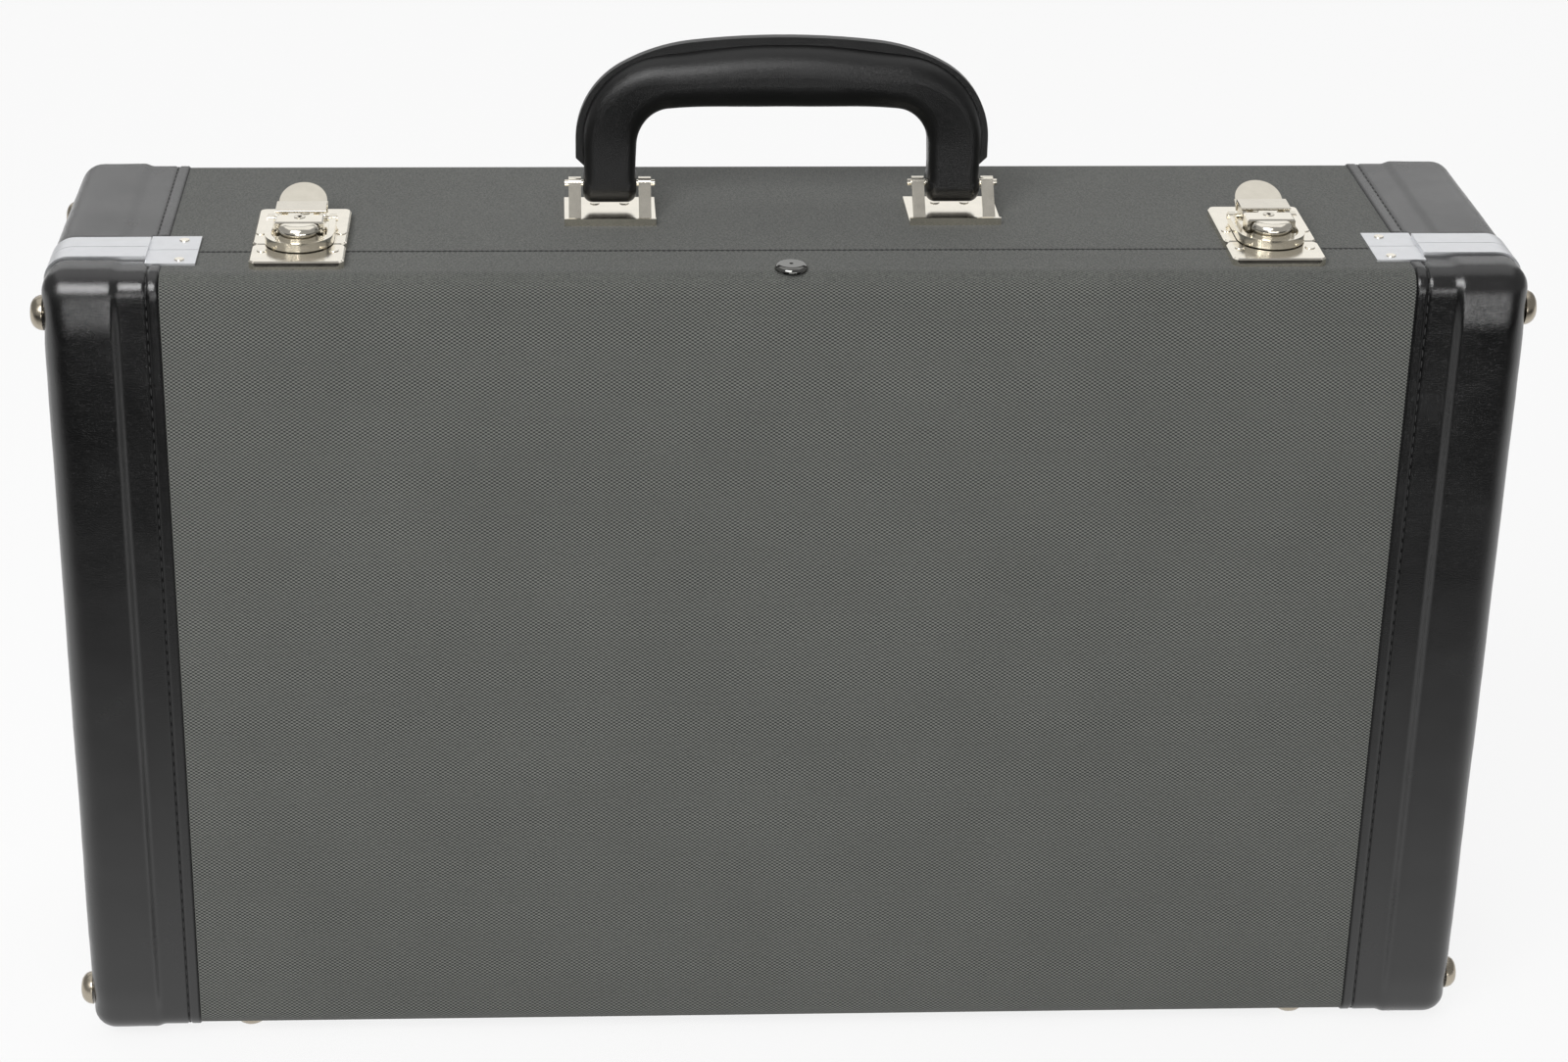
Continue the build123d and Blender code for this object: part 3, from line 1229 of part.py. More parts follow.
with BuildPart() as box_lid:
    sheet_z0 = box_hinge_z + BOX_HINGE_RADIUS + BOX_LID_GAP
    sheet_z1 = box_middle_z + BOX_WIDTH / 2
    with BuildSketch(Plane((-BOX_X, box_front_y - BOX_LID_GAP, 0), x_dir=(1, 0, 0), z_dir=(0, -1, 0))):
        with Locations((0, (sheet_z0 + sheet_z1) / 2)):
            Rectangle(BOX_LENGTH, sheet_z1 - sheet_z0)
        for direction in (-1, 1):
            with Locations((direction * BOX_KNUCKLE_X, (box_hinge_z + sheet_z0) / 2)):
                Rectangle(BOX_KNUCKLE - 2 * KNUCKLE_GAP, sheet_z0 - box_hinge_z)
    extrude(amount=BOX_LID_SHEET)
    for direction in (-1, 1):
        with Locations(
            Plane(
                (-BOX_X + direction * BOX_KNUCKLE_X, box_hinge_y, box_hinge_z), z_dir=(1, 0, 0)
            ).location
        ):
            Cylinder(BOX_HINGE_RADIUS, BOX_KNUCKLE - 2 * KNUCKLE_GAP)
    with Locations(
        Plane(
            (-BOX_X, box_front_y - BOX_LID_GAP - BOX_LID_SHEET, sheet_z1 - 2 * BOX_KNOB_RADIUS),
            z_dir=(0, -1, 0),
        ).location
    ):
        Cylinder(
            BOX_KNOB_RADIUS, BOX_KNOB_HEIGHT, align=(Align.CENTER, Align.CENTER, Align.MIN)
        )
    add(box_hinge_bore(BOX_PIN_RADIUS + BOX_PIN_CLEARANCE), mode=Mode.SUBTRACT)
save(box_lid, "box_lid")

with BuildPart() as box_lid_pin:
    with Locations(Plane((-BOX_X, box_hinge_y, box_hinge_z), z_dir=(1, 0, 0)).location):
        Cylinder(BOX_PIN_RADIUS, 2 * BOX_KNUCKLE_X + 3 * BOX_KNUCKLE)
save(box_lid_pin, "box_lid_pin")

with BuildPart() as lid_pads:
    for side in SIDES.values():
        with BuildSketch(
            Plane((0, CAVITY_FRONT_Y, MIDDLE_Z), x_dir=(1, 0, 0), z_dir=(0, -1, 0))
        ):
            with Locations((side * NECK_BLOCK_X, -side * TRUMPET_AXIS)):
                RectangleRounded(PAD_WIDTH, PAD_LENGTH, BLOCK_ROUND)
        extrude(amount=-PAD_HEIGHT)
    fillet(lid_pads.faces().group_by(Axis.Y)[-1].edges(), BLOCK_ROUND * 0.8)
save(lid_pads, "lid_pads")
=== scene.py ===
"""A trumpet case: grey tweed, padded black leather ends, nickel draw latches and a plush inside."""

import math

import bmesh
import bpy
from mathutils import Matrix, Vector, noise


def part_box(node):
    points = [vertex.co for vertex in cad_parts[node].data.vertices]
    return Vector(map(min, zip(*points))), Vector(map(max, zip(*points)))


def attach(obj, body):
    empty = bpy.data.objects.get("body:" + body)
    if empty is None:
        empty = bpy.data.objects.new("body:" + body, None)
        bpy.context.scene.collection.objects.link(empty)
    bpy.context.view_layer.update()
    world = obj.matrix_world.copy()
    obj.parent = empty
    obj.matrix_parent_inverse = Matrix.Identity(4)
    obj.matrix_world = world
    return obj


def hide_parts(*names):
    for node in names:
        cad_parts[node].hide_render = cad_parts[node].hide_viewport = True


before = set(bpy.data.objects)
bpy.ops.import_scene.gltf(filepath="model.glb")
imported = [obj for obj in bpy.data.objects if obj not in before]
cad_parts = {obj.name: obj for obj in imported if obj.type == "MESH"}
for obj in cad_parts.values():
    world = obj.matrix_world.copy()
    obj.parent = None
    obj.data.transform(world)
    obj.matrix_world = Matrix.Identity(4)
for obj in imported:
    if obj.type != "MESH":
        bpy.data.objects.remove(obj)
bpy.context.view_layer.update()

# Sizes and places in metres. The case stands on z = 0 with its lid towards -y, and x = 0
# is its middle. The right end is made, and the left one mirrored from it.

MM = 0.001
EDGE_ROUND = 8 * MM
FLAT_END = 288 * MM  # the end wall before its padding
FACE = 70 * MM  # front and back tweed
BOTTOM = 5 * MM
TOP = 344 * MM
MIDDLE = (BOTTOM + TOP) / 2
CORE = Vector((FLAT_END, FACE, (TOP - BOTTOM) / 2)) - Vector((EDGE_ROUND,) * 3)
SEAM = -40 * MM
ARC_STEPS = 4  # for each half of a rounded edge

# name, body and side of the seam of each half
HALVES = (("base", "case", 1), ("lid", "lid", -1))

# The leather ends

LEATHER_EDGE = 244 * MM  # where leather meets tweed
HEM_RAISE = 0.7 * MM
HEM_ROLL = 0.8 * MM
STITCH_LINE = 249 * MM
STITCH_SINK = 0.6 * MM  # how deep the thread draws the leather in
STITCH_SINK_WIDTH = 1.3 * MM
PAD_START = 259 * MM  # where the padding begins
PAD_RISE = 4.2 * MM
PAD_HEIGHT = 1.7 * MM
PAD_FULLNESS = 2.6 * MM  # how much more in the middle of the front and back
PAD_FULL_REACH = 22 * MM
STRIP_ROOM = 11.3 * MM  # each side of the seam, where the aluminium lies
STRIP_SHOULDER = 2.2 * MM  # over which the padding rises beside it
TAB_ROOM = 15.7 * MM  # the same room beside the strip's wide end
TAB_END = 250.5 * MM  # where the wide end stops
LEATHER_UNDER = 0.9 * MM  # from the tweed's face down to the leather's back
LARGE_PUFF = (30 * MM, 0.22 * MM)  # width and height of the padding's unevenness
SMALL_PUFF = (9 * MM, 0.07 * MM)
END_CROWN = 1.1 * MM  # how full the end wall is
CROWN_HALF_HEIGHT = 168 * MM
CROWN_FADE_ACROSS = 26 * MM
CROWN_FADE_UP = 50 * MM
DIMPLE = 0.9 * MM  # round each bumper
DIMPLE_REACH = 13 * MM

# Steps of the leather's mesh, from the hem towards the end wall

FINE_STEP = 0.6 * MM
WALL_STEP = 2.6 * MM
HEM_STEP = 0.4 * MM
FLAT_STEP = 2 * MM
PAD_STEP = 2.4 * MM
TAB_STEP = 0.5 * MM
UNDER_STRIP = (1.5 * MM, 6 * MM)  # steps under the aluminium, from the seam
STITCH_BAND = (246 * MM, 252 * MM)  # close steps across the stitch line
FLAT_HEM = 254 * MM  # wide steps from here to the padding
PAD_TOP = 265 * MM  # even steps from here to the end wall

# The lining and the blocks

LINING_FACE = 7 * MM  # under the tweed's face
LINING_BACK = 5.1 * MM
LINING_STEP = 5 * MM
LINING_FROM_SEAM = 0.3 * MM
LINING_WAVE = (35 * MM, 0.35 * MM)  # width and height
BLOCK_STEP = 4 * MM
BLOCK_EDGE = (0.7 * MM, 1.8 * MM)
BLOCK_WAVE = 12 * MM  # width of the unevenness
MERGE = 0.01 * MM

# The stitches

STITCH_PITCH = 4.6 * MM
STITCH_LENGTH = 3.5 * MM
STITCH_RADIUS = 0.34 * MM
STITCH_FROM_SEAM = 18 * MM
STITCH_HEIGHT = 0.1 * MM
CORNER_TURNS = 8  # of a row of stitches, round an edge of the case


def ease(t):
    """0 before 0, 1 after 1, and smooth between."""
    t = min(max(t, 0.0), 1.0)
    return t * t * (3 - 2 * t)


def bell(t):
    """1 at 0, falling smoothly to 0 at 1."""
    return 1 - ease(abs(t))


# Materials


class Finish:
    """One material's nodes, added and joined in single calls."""

    def __init__(self, name):
        self.material = bpy.data.materials.new(name)
        self.material.use_nodes = True
        self.tree = self.material.node_tree
        self.tree.nodes.clear()
        self.output = self.tree.nodes.new("ShaderNodeOutputMaterial")
        self.place = self.add("ShaderNodeTexCoord").outputs["Object"]

    def add(self, kind, inputs=None, **settings):
        made = self.tree.nodes.new(kind)
        for key, value in settings.items():
            setattr(made, key, value)
        for key, value in (inputs or {}).items():
            if isinstance(value, bpy.types.NodeSocket):
                self.tree.links.new(value, made.inputs[key])
            else:
                made.inputs[key].default_value = value
        return made

    def math(self, operation, *values):
        inputs = dict(enumerate(values))
        return self.add("ShaderNodeMath", inputs, operation=operation).outputs[0]

    def scaled(self, vector, amount):
        """A vector or a colour times one value."""
        inputs = {0: vector, "Scale": amount}
        return self.add("ShaderNodeVectorMath", inputs, operation="SCALE").outputs[0]

    def stretch(self, x, y, z):
        return self.add("ShaderNodeMapping", {"Vector": self.place, "Scale": (x, y, z)}).outputs[0]

    def noise(self, size, detail=3.0, rough=0.5, vector=None, distortion=0.0):
        """Soft spots of about a size in metres."""
        inputs = {
            "Vector": vector or self.place,
            "Scale": 1 / size,
            "Detail": detail,
            "Roughness": rough,
            "Distortion": distortion,
        }
        return self.add("ShaderNodeTexNoise", inputs).outputs["Fac"]

    def ramp(self, value, low, high, from_low=0.0, from_high=1.0):
        inputs = {
            "Value": value,
            "From Min": from_low,
            "From Max": from_high,
            "To Min": low,
            "To Max": high,
        }
        return self.add("ShaderNodeMapRange", inputs).outputs[0]

    def mix(self, amount, first, second):
        """A colour between two, by an amount that varies."""
        mixer = self.add("ShaderNodeMix", data_type="RGBA")
        for socket, value in ((0, amount), (6, first), (7, second)):
            if isinstance(value, bpy.types.NodeSocket):
                self.tree.links.new(value, mixer.inputs[socket])
            else:
                mixer.inputs[socket].default_value = value
        return mixer.outputs[2]

    def bump(self, height, distance, strength=1.0, under=None):
        inputs = {"Height": height, "Distance": distance, "Strength": strength}
        if under is not None:
            inputs["Normal"] = under
        return self.add("ShaderNodeBump", inputs).outputs[0]

    def finish(self, **inputs):
        names = {key.replace("_", " "): value for key, value in inputs.items()}
        shader = self.add("ShaderNodeBsdfPrincipled", names)
        self.tree.links.new(shader.outputs[0], self.output.inputs[0])
        return self.material


def grey(value, warm=1.0, cool=1.0):
    """A grey, with its red and its blue made a little stronger or weaker."""
    return (value * warm, value, value * cool, 1.0)


# The tweed

CHECK_ACROSS = 2.1 * MM
CHECK_UP = 1.45 * MM
TWEED_DARK = (0.010, 0.011, 0.011, 1)
TWEED_LIGHT = (0.168, 0.173, 0.157, 1)
THREAD_DRIFT = 0.25 * MM  # how far the checks wander with the slubs
CRISP_FROM = 2 * MM  # below the top: the checks show less above this
CRISP_FULL = 5 * MM
SPLIT_DARK = 1.15 * MM  # painted shade: the dark line in the split where base and lid meet, to either side
SPLIT_CLEAR = 1.4 * MM
FRAY = 0.9 * MM  # how ragged the painted shade line's edges are
FRAY_CHECKS = 0.35 * MM


def tweed():
    """A small checked weave that runs up the front, over the top and down the back, with painted
    shade along the split between base and lid.
    """
    f = Finish("grey_tweed")
    x, y, z = f.add("ShaderNodeSeparateXYZ", {"Vector": f.place}).outputs
    over = f.math("SUBTRACT", FACE, f.math("ABSOLUTE", y))
    above = f.math("SIGN", f.math("SUBTRACT", z, MIDDLE))
    up = f.math("ADD", z, f.math("MULTIPLY", above, over))
    slub = f.noise(5 * MM, 2, 0.6)
    drift = f.math("MULTIPLY", slub, THREAD_DRIFT)
    warp = f.math("MULTIPLY", f.math("ADD", x, drift), 2 * math.pi / CHECK_ACROSS)
    weft = f.math("MULTIPLY", f.math("ADD", up, drift), 2 * math.pi / CHECK_UP)
    checks = f.math("MULTIPLY", f.math("SINE", warp), f.math("SINE", weft))
    threads = f.math(
        "MULTIPLY",
        f.math("SINE", f.math("MULTIPLY", warp, 3.0)),
        f.math("SINE", f.math("MULTIPLY", weft, 3.0)),
    )
    fibres = f.noise(0.35 * MM, 2, 0.7)
    worn = f.noise(55 * MM, 4, 0.55)
    from_top = f.math("SUBTRACT", TOP, z)
    crisp = f.ramp(from_top, 0.22, 1.0, CRISP_FROM, CRISP_FULL)
    nap = f.noise(0.6 * MM, 2, 0.6)
    mottle = f.math("MULTIPLY", f.math("SUBTRACT", nap, 0.5), f.ramp(crisp, 1.8, 0.4))
    speckle = f.math("ADD", f.math("MULTIPLY", f.math("SUBTRACT", fibres, 0.5), 0.8), mottle)
    tone = f.math("ADD", f.math("MULTIPLY", checks, crisp), speckle)
    light = f.ramp(tone, 0.0, 1.0, -0.5, 0.55)
    colour = f.mix(light, TWEED_DARK, TWEED_LIGHT)
    # Painted shade: a ragged dark line along the split between base and lid, multiplied into the
    # colour with the random blotches
    ragged = f.math("MULTIPLY", f.noise(1.6 * MM, 2, 0.7), FRAY)
    ragged = f.math("ADD", ragged, f.math("MULTIPLY", f.math("SINE", warp), FRAY_CHECKS))
    from_seam = f.math("ABSOLUTE", f.math("SUBTRACT", y, SEAM))
    split_shade = f.ramp(f.math("ADD", from_seam, ragged), 0.05, 1.0, SPLIT_DARK, SPLIT_CLEAR)
    blotches_and_split_shade = f.math("MULTIPLY", f.ramp(worn, 0.95, 1.05, 0.3, 0.7), split_shade)
    colour = f.scaled(colour, blotches_and_split_shade)
    height = f.math("ADD", checks, f.math("MULTIPLY", threads, 0.5))
    height = f.math("ADD", height, f.math("MULTIPLY", fibres, 0.8))
    return f.finish(
        Base_Color=colour,
        Roughness=f.ramp(fibres, 0.74, 0.92),
        Sheen_Weight=0.12,
        Normal=f.bump(height, 0.10 * MM, 0.7),
    )


# The dull grooves of the leather: distance from the middle of the case, and half width
GROOVES = ((LEATHER_EDGE + 0.2 * MM, 0.9 * MM), (STITCH_LINE, 0.8 * MM))


def leather(name, grain, tone, gloss_low, gloss_high, depth, shine, grooves=()):
    """Black leather: cells of grain, soft creases, and a rubbed shine, dull along the grooves."""
    f = Finish(name)
    spots = f.add("ShaderNodeTexNoise", {"Vector": f.place, "Scale": 1 / (4 * grain), "Detail": 3.0})
    drift = f.scaled(spots.outputs["Color"], 1.6 * grain)
    loose = f.add("ShaderNodeVectorMath", {0: f.place, 1: drift}, operation="ADD")
    cells = f.add(
        "ShaderNodeTexVoronoi", {"Vector": loose.outputs[0], "Scale": 1 / grain},
        feature="DISTANCE_TO_EDGE",
    ).outputs["Distance"]
    pores = f.noise(grain / 3, 2, 0.6)
    creases = f.noise(22 * MM, 5, 0.6, distortion=0.8)
    rubbed = f.noise(38 * MM, 4, 0.55)
    pebble = f.ramp(cells, 0.0, 1.0, 0.0, 0.28)
    height = f.math("ADD", pebble, f.math("MULTIPLY", pores, 0.35))
    fine = f.bump(height, depth, 0.55)
    both = f.bump(creases, 0.4 * MM, 0.2, under=fine)
    dark = grey(tone * 0.62, 1.0, 1.02)
    light = grey(tone * 1.5, 1.0, 1.02)
    scuffed = f.math("MULTIPLY", f.ramp(rubbed, 0.0, 1.0, 0.42, 0.75), f.ramp(cells, 0.4, 1, 0, 0.3))
    across = f.math("ABSOLUTE", f.add("ShaderNodeSeparateXYZ", {"Vector": f.place}).outputs[0])
    for line, width in grooves:
        away = f.math("ABSOLUTE", f.math("SUBTRACT", across, line))
        shine = f.math("MULTIPLY", shine, f.ramp(away, 0.3, 1.0, 0.35 * width, width))
    return f.finish(
        Base_Color=f.mix(scuffed, dark, light),
        Roughness=f.ramp(rubbed, gloss_low, gloss_high, 0.3, 0.7),
        Specular_IOR_Level=shine,
        Normal=both,
    )


def metal(name, colour, rough, spread, grain=0.35 * MM, bump=0.004 * MM, stretch=(1, 1, 1)):
    """A plated or polished metal: fine drawn lines, cloudy polish and small rubs."""
    f = Finish(name)
    drawn = f.noise(grain, 3, 0.6, vector=f.stretch(*stretch))
    cloudy = f.noise(6 * MM, 4, 0.6)
    rubs = f.noise(1.4 * MM, 5, 0.75, distortion=1.5)
    worn = f.ramp(rubs, 0.0, 1.0, 0.56, 0.68)
    darker = tuple(c * 0.86 for c in colour) + (1,)
    lighter = tuple(min(c * 1.04, 1.0) for c in colour) + (1,)
    uneven = f.math("ADD", f.ramp(cloudy, -spread, spread), f.math("MULTIPLY", worn, 0.5 * spread))
    return f.finish(
        Base_Color=f.mix(cloudy, darker, lighter),
        Metallic=1.0,
        Roughness=f.math("ADD", rough, f.math("ADD", uneven, f.ramp(drawn, -0.02, 0.03))),
        Normal=f.bump(drawn, bump, 0.5),
    )


def plush(name, tone, warm):
    """Short velvet: a deep pile that is brushed lighter in patches."""
    f = Finish(name)
    pile = f.noise(0.7 * MM, 3, 0.7)
    brushed = f.noise(26 * MM, 4, 0.6, distortion=1.2)
    lit = f.math("ADD", f.ramp(brushed, 0.0, 0.6, 0.35, 0.68), f.ramp(pile, 0.0, 0.4))
    return f.finish(
        Base_Color=f.mix(lit, grey(tone * 0.55, warm, 1.06), grey(tone * 1.7, warm, 1.06)),
        Roughness=f.ramp(pile, 0.85, 1.0),
        Sheen_Weight=0.45,
        Sheen_Roughness=0.4,
        Normal=f.bump(pile, 0.5 * MM, 0.8),
    )


def board():
    """The dark board of the shell, seen at its edges."""
    f = Finish("shell_board")
    fibres = f.noise(1.1 * MM, 4, 0.7, vector=f.stretch(0.3, 1, 1))
    return f.finish(
        Base_Color=f.mix(fibres, (0.025, 0.022, 0.018, 1), (0.07, 0.062, 0.05, 1)),
        Roughness=f.ramp(fibres, 0.6, 0.85),
        Normal=f.bump(fibres, 0.08 * MM, 0.6),
    )


def thread():
    """Black thread with a fine twist."""
    f = Finish("black_thread")
    twist = f.noise(0.3 * MM, 2, 0.6)
    return f.finish(
        Base_Color=f.mix(twist, (0.006, 0.006, 0.006, 1), (0.03, 0.03, 0.03, 1)),
        Roughness=f.ramp(twist, 0.45, 0.7),
        Normal=f.bump(twist, 0.05 * MM, 0.6),
    )


TWEED = tweed()
LEATHER = leather(
    "black_leather", grain=0.85 * MM, tone=0.0026, gloss_low=0.20, gloss_high=0.29,
    depth=0.045 * MM, shine=0.9, grooves=GROOVES,
)
GRIP = leather(
    "moulded_grip", grain=0.6 * MM, tone=0.0030, gloss_low=0.30, gloss_high=0.40,
    depth=0.06 * MM, shine=0.5,
)
NICKEL = metal("polished_nickel", (0.94, 0.89, 0.78), 0.15, 0.05)
SATIN_NICKEL = metal(
    "satin_nickel", (0.78, 0.735, 0.64), 0.22, 0.05, bump=0.006 * MM, stretch=(0.15, 1, 1)
)
BUMPER_NICKEL = metal("dull_nickel", (0.46, 0.41, 0.33), 0.26, 0.08)
ALUMINIUM = metal(
    "brushed_aluminium", (0.85, 0.86, 0.88), 0.38, 0.06,
    grain=0.5 * MM, bump=0.012 * MM, stretch=(1, 0.1, 1),
)
CHROME = metal("dark_chrome", (0.20, 0.20, 0.19), 0.07, 0.03)
STEEL = metal("zinc_plated_steel", (0.62, 0.62, 0.60), 0.28, 0.07)
PLUSH = plush("charcoal_plush", 0.032, 1.0)
BOARD = board()
THREAD = thread()

# The solids that stay as they are, and what each is made of

NODE_FINISHES = {
    TWEED: ["base_fabric", "lid_fabric"],
    BOARD: ["base_shell", "lid_shell"],
    GRIP: ["handle"],
    ALUMINIUM: ["base_strip_left", "base_strip_right", "lid_strip_left", "lid_strip_right"],
    NICKEL: ["base_rivets", "lid_rivets", "latch_plate_left", "latch_plate_right",
             "latch_catch_left", "latch_catch_right", "lock_body_left", "lock_body_right",
             "latch_bail_left", "latch_bail_right", "handle_bracket_left",
             "handle_bracket_right", "handle_pins"],
    CHROME: ["centre_rivet"],
    SATIN_NICKEL: ["latch_lever_left", "latch_lever_right", "lock_plug_left", "lock_plug_right",
                   "lever_pins"],
    STEEL: ["base_hinge_left", "base_hinge_right", "lid_hinge_left", "lid_hinge_right",
            "hinge_pins", "stay_arm_left", "stay_arm_right", "base_stay_studs",
            "lid_stay_pivots", "seam_blade", "box_lid_pin"],
    BUMPER_NICKEL: ["base_bumpers", "lid_bumpers"],
    PLUSH: ["box_lid"],
}

for finish, names in NODE_FINISHES.items():
    for name in names:
        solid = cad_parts[name]
        solid.data.materials.clear()
        solid.data.materials.append(finish)


# Meshes


def placed(name, data):
    """A mesh, lamp or camera as an object of the scene."""
    made = bpy.data.objects.new(name, data)
    bpy.context.scene.collection.objects.link(made)
    return made


def shade_smooth(mesh):
    for face in mesh.polygons:
        face.use_smooth = True


def new_piece(name, points, faces, material):
    """A piece from its points and faces, with its faces turned outwards."""
    mesh = bpy.data.meshes.new(name)
    mesh.from_pydata([tuple(p) for p in points], [], faces)
    work = bmesh.new()
    work.from_mesh(mesh)
    bmesh.ops.recalc_face_normals(work, faces=work.faces)
    work.to_mesh(mesh)
    work.free()
    mesh.materials.append(material)
    shade_smooth(mesh)
    return placed(name, mesh)


def even_steps(start, end, step):
    """Places from start to end, about a step apart."""
    count = max(1, round(abs(end - start) / step))
    return [start + (end - start) * i / count for i in range(count + 1)]


# How far past the flat part of a wall each step of the rounded edge's first half lies
ARC_PLACES = [EDGE_ROUND * math.tan(math.pi / 4 * k / ARC_STEPS) for k in range(1, ARC_STEPS + 1)]


def rounded_steps(start, end, step, round_start, round_end):
    """Places across a rounded box: even where it is flat, and crowded at a rounded edge."""
    places = even_steps(start, end, step)
    if round_start:
        places = [start - a for a in reversed(ARC_PLACES)] + places
    if round_end:
        places = places + [end + a for a in ARC_PLACES]
    return places


def depth_steps(near_seam, outward):
    """Places from near the seam to the front (outward -1) or back (1), round its edge."""
    return sorted(near_seam + [outward * (CORE.y + a) for a in ARC_PLACES])


def half_box(x_low, x_high, ys, outward):
    """The corners of one half's flat box, inside the rounding."""
    low = Vector((x_low, ys[0] if outward > 0 else -CORE.y, MIDDLE - CORE.z))
    high = Vector((x_high, CORE.y if outward > 0 else ys[-1], MIDDLE + CORE.z))
    return low, high


def case_wall(name, places, low, high, sides, outer, inner, material):
    """A wall that follows some sides of the case's rounded box, between two heights.

    places are the steps along x, y and z; low and high the corners of the box inside the
    rounding; sides the (axis, end) pairs that the wall covers. outer and inner give the
    height above the tweed's face at a point there.
    """
    points, index, faces = [], {}, []

    def vertex(i, j, k, layer):
        key = (i, j, k, layer)
        if key not in index:
            spot = Vector((places[0][i], places[1][j], places[2][k]))
            core = Vector([min(max(spot[a], low[a]), high[a]) for a in range(3)])
            out = (spot - core).normalized()
            face = core + out * EDGE_ROUND
            height = outer(face, out) if layer else inner(face, out)
            index[key] = len(points)
            points.append(face + out * height)
        return index[key]

    lasts = [len(p) - 1 for p in places]
    rims = {}
    for axis, end in sides:
        a, b = [n for n in range(3) if n != axis]
        fixed = lasts[axis] if end > 0 else 0
        for s in range(lasts[a]):
            for t in range(lasts[b]):
                corners = []
                for ds, dt in ((0, 0), (1, 0), (1, 1), (0, 1)):
                    key = [0, 0, 0]
                    key[axis], key[a], key[b] = fixed, s + ds, t + dt
                    corners.append(tuple(key))
                if (end > 0) == (axis == 1):
                    corners.reverse()
                faces.append([vertex(*c, 1) for c in corners])
                faces.append([vertex(*c, 0) for c in reversed(corners)])
                for here, there in zip(corners, corners[1:] + corners[:1]):
                    if (there, here) in rims:
                        del rims[(there, here)]
                    else:
                        rims[(here, there)] = True
    for here, there in rims:
        faces.append([vertex(*there, 1), vertex(*here, 1), vertex(*here, 0), vertex(*there, 0)])
    return new_piece(name, points, faces, material)


def mirrored(piece, name):
    """The same piece at the other end of the case."""
    mesh = piece.data.copy()
    mesh.transform(Matrix.Scale(-1, 4, (1, 0, 0)))
    mesh.flip_normals()
    return placed(name, mesh)


# Padded leather ends

END_BUMPERS = [(y, z) for y in (-58.4 * MM, 52 * MM) for z in (19 * MM, 326 * MM)]


def leather_height(point, out):
    """How far the leather stands above the tweed's face."""
    x, y, z = point
    from_seam = abs(y - SEAM)
    off_strip = ease((from_seam - STRIP_ROOM) / STRIP_SHOULDER)
    off_tab = ease((from_seam - (TAB_ROOM if x < TAB_END else STRIP_ROOM)) / HEM_ROLL)
    hem = HEM_RAISE * off_tab * ease((x - LEATHER_EDGE) / HEM_ROLL)
    hem -= STITCH_SINK * off_tab * bell((x - STITCH_LINE) / STITCH_SINK_WIDTH)
    padded = ease((x - PAD_START) / PAD_RISE) * off_strip
    puff = sum(noise.noise(point / width) * rise for width, rise in (LARGE_PUFF, SMALL_PUFF))
    crown = END_CROWN * max(out.x, 0) ** 2
    crown *= ease((FACE - abs(y)) / CROWN_FADE_ACROSS)
    crown *= ease((CROWN_HALF_HEIGHT - abs(z - MIDDLE)) / CROWN_FADE_UP)
    full = PAD_FULLNESS * out.y ** 2
    full *= ease((CORE.z + EDGE_ROUND - abs(z - MIDDLE)) / PAD_FULL_REACH)
    dent = 0.0
    if out.x > 0.5:
        for bumper_y, bumper_z in END_BUMPERS:
            away = math.hypot(y - bumper_y, z - bumper_z)
            dent = max(dent, DIMPLE * bell(away / DIMPLE_REACH))
    return hem * (1 - padded) + padded * (PAD_HEIGHT + puff + crown + full - dent)


def leather_steps():
    """Steps along x, close together at the stitches and at the edge of the padding."""
    return (
        even_steps(LEATHER_EDGE, LEATHER_EDGE + HEM_ROLL, HEM_STEP)
        + even_steps(*STITCH_BAND, FINE_STEP)
        + even_steps(FLAT_HEM, PAD_START, FLAT_STEP)
        + even_steps(PAD_START + FINE_STEP, PAD_START + PAD_RISE, FINE_STEP)
        + rounded_steps(PAD_TOP, CORE.x, PAD_STEP, False, True)
    )


def leather_end(name, outward):
    """The right end of the base (outward 1) or of the lid (outward -1)."""
    beside_strip = even_steps(STRIP_ROOM - HEM_STEP / 2, STRIP_ROOM + STRIP_SHOULDER, HEM_STEP)
    beside_tab = even_steps(TAB_ROOM - HEM_STEP, TAB_ROOM + HEM_ROLL, TAB_STEP)
    shoulder = [SEAM + outward * d for d in (*UNDER_STRIP, *beside_strip, *beside_tab)]
    far = even_steps(shoulder[-1] + outward * FLAT_STEP, outward * CORE.y, WALL_STEP)
    ys = depth_steps(shoulder + far, outward)
    zs = rounded_steps(MIDDLE - CORE.z, MIDDLE + CORE.z, WALL_STEP, True, True)
    low, high = half_box(LEATHER_EDGE, CORE.x, ys, outward)
    sides = [(0, 1), (1, outward), (2, 1), (2, -1)]
    return case_wall(
        name, (leather_steps(), ys, zs), low, high, sides,
        leather_height, lambda point, out: -LEATHER_UNDER, LEATHER,
    )


def make_leather_ends():
    for half, body, outward in HALVES:
        right = leather_end(f"{half}_leather_right", outward)
        left = mirrored(right, f"{half}_leather_left")
        for piece, side in ((right, "right"), (left, "left")):
            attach(piece, body)
            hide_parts(f"{half}_cap_{side}")


# Stitches round the hems


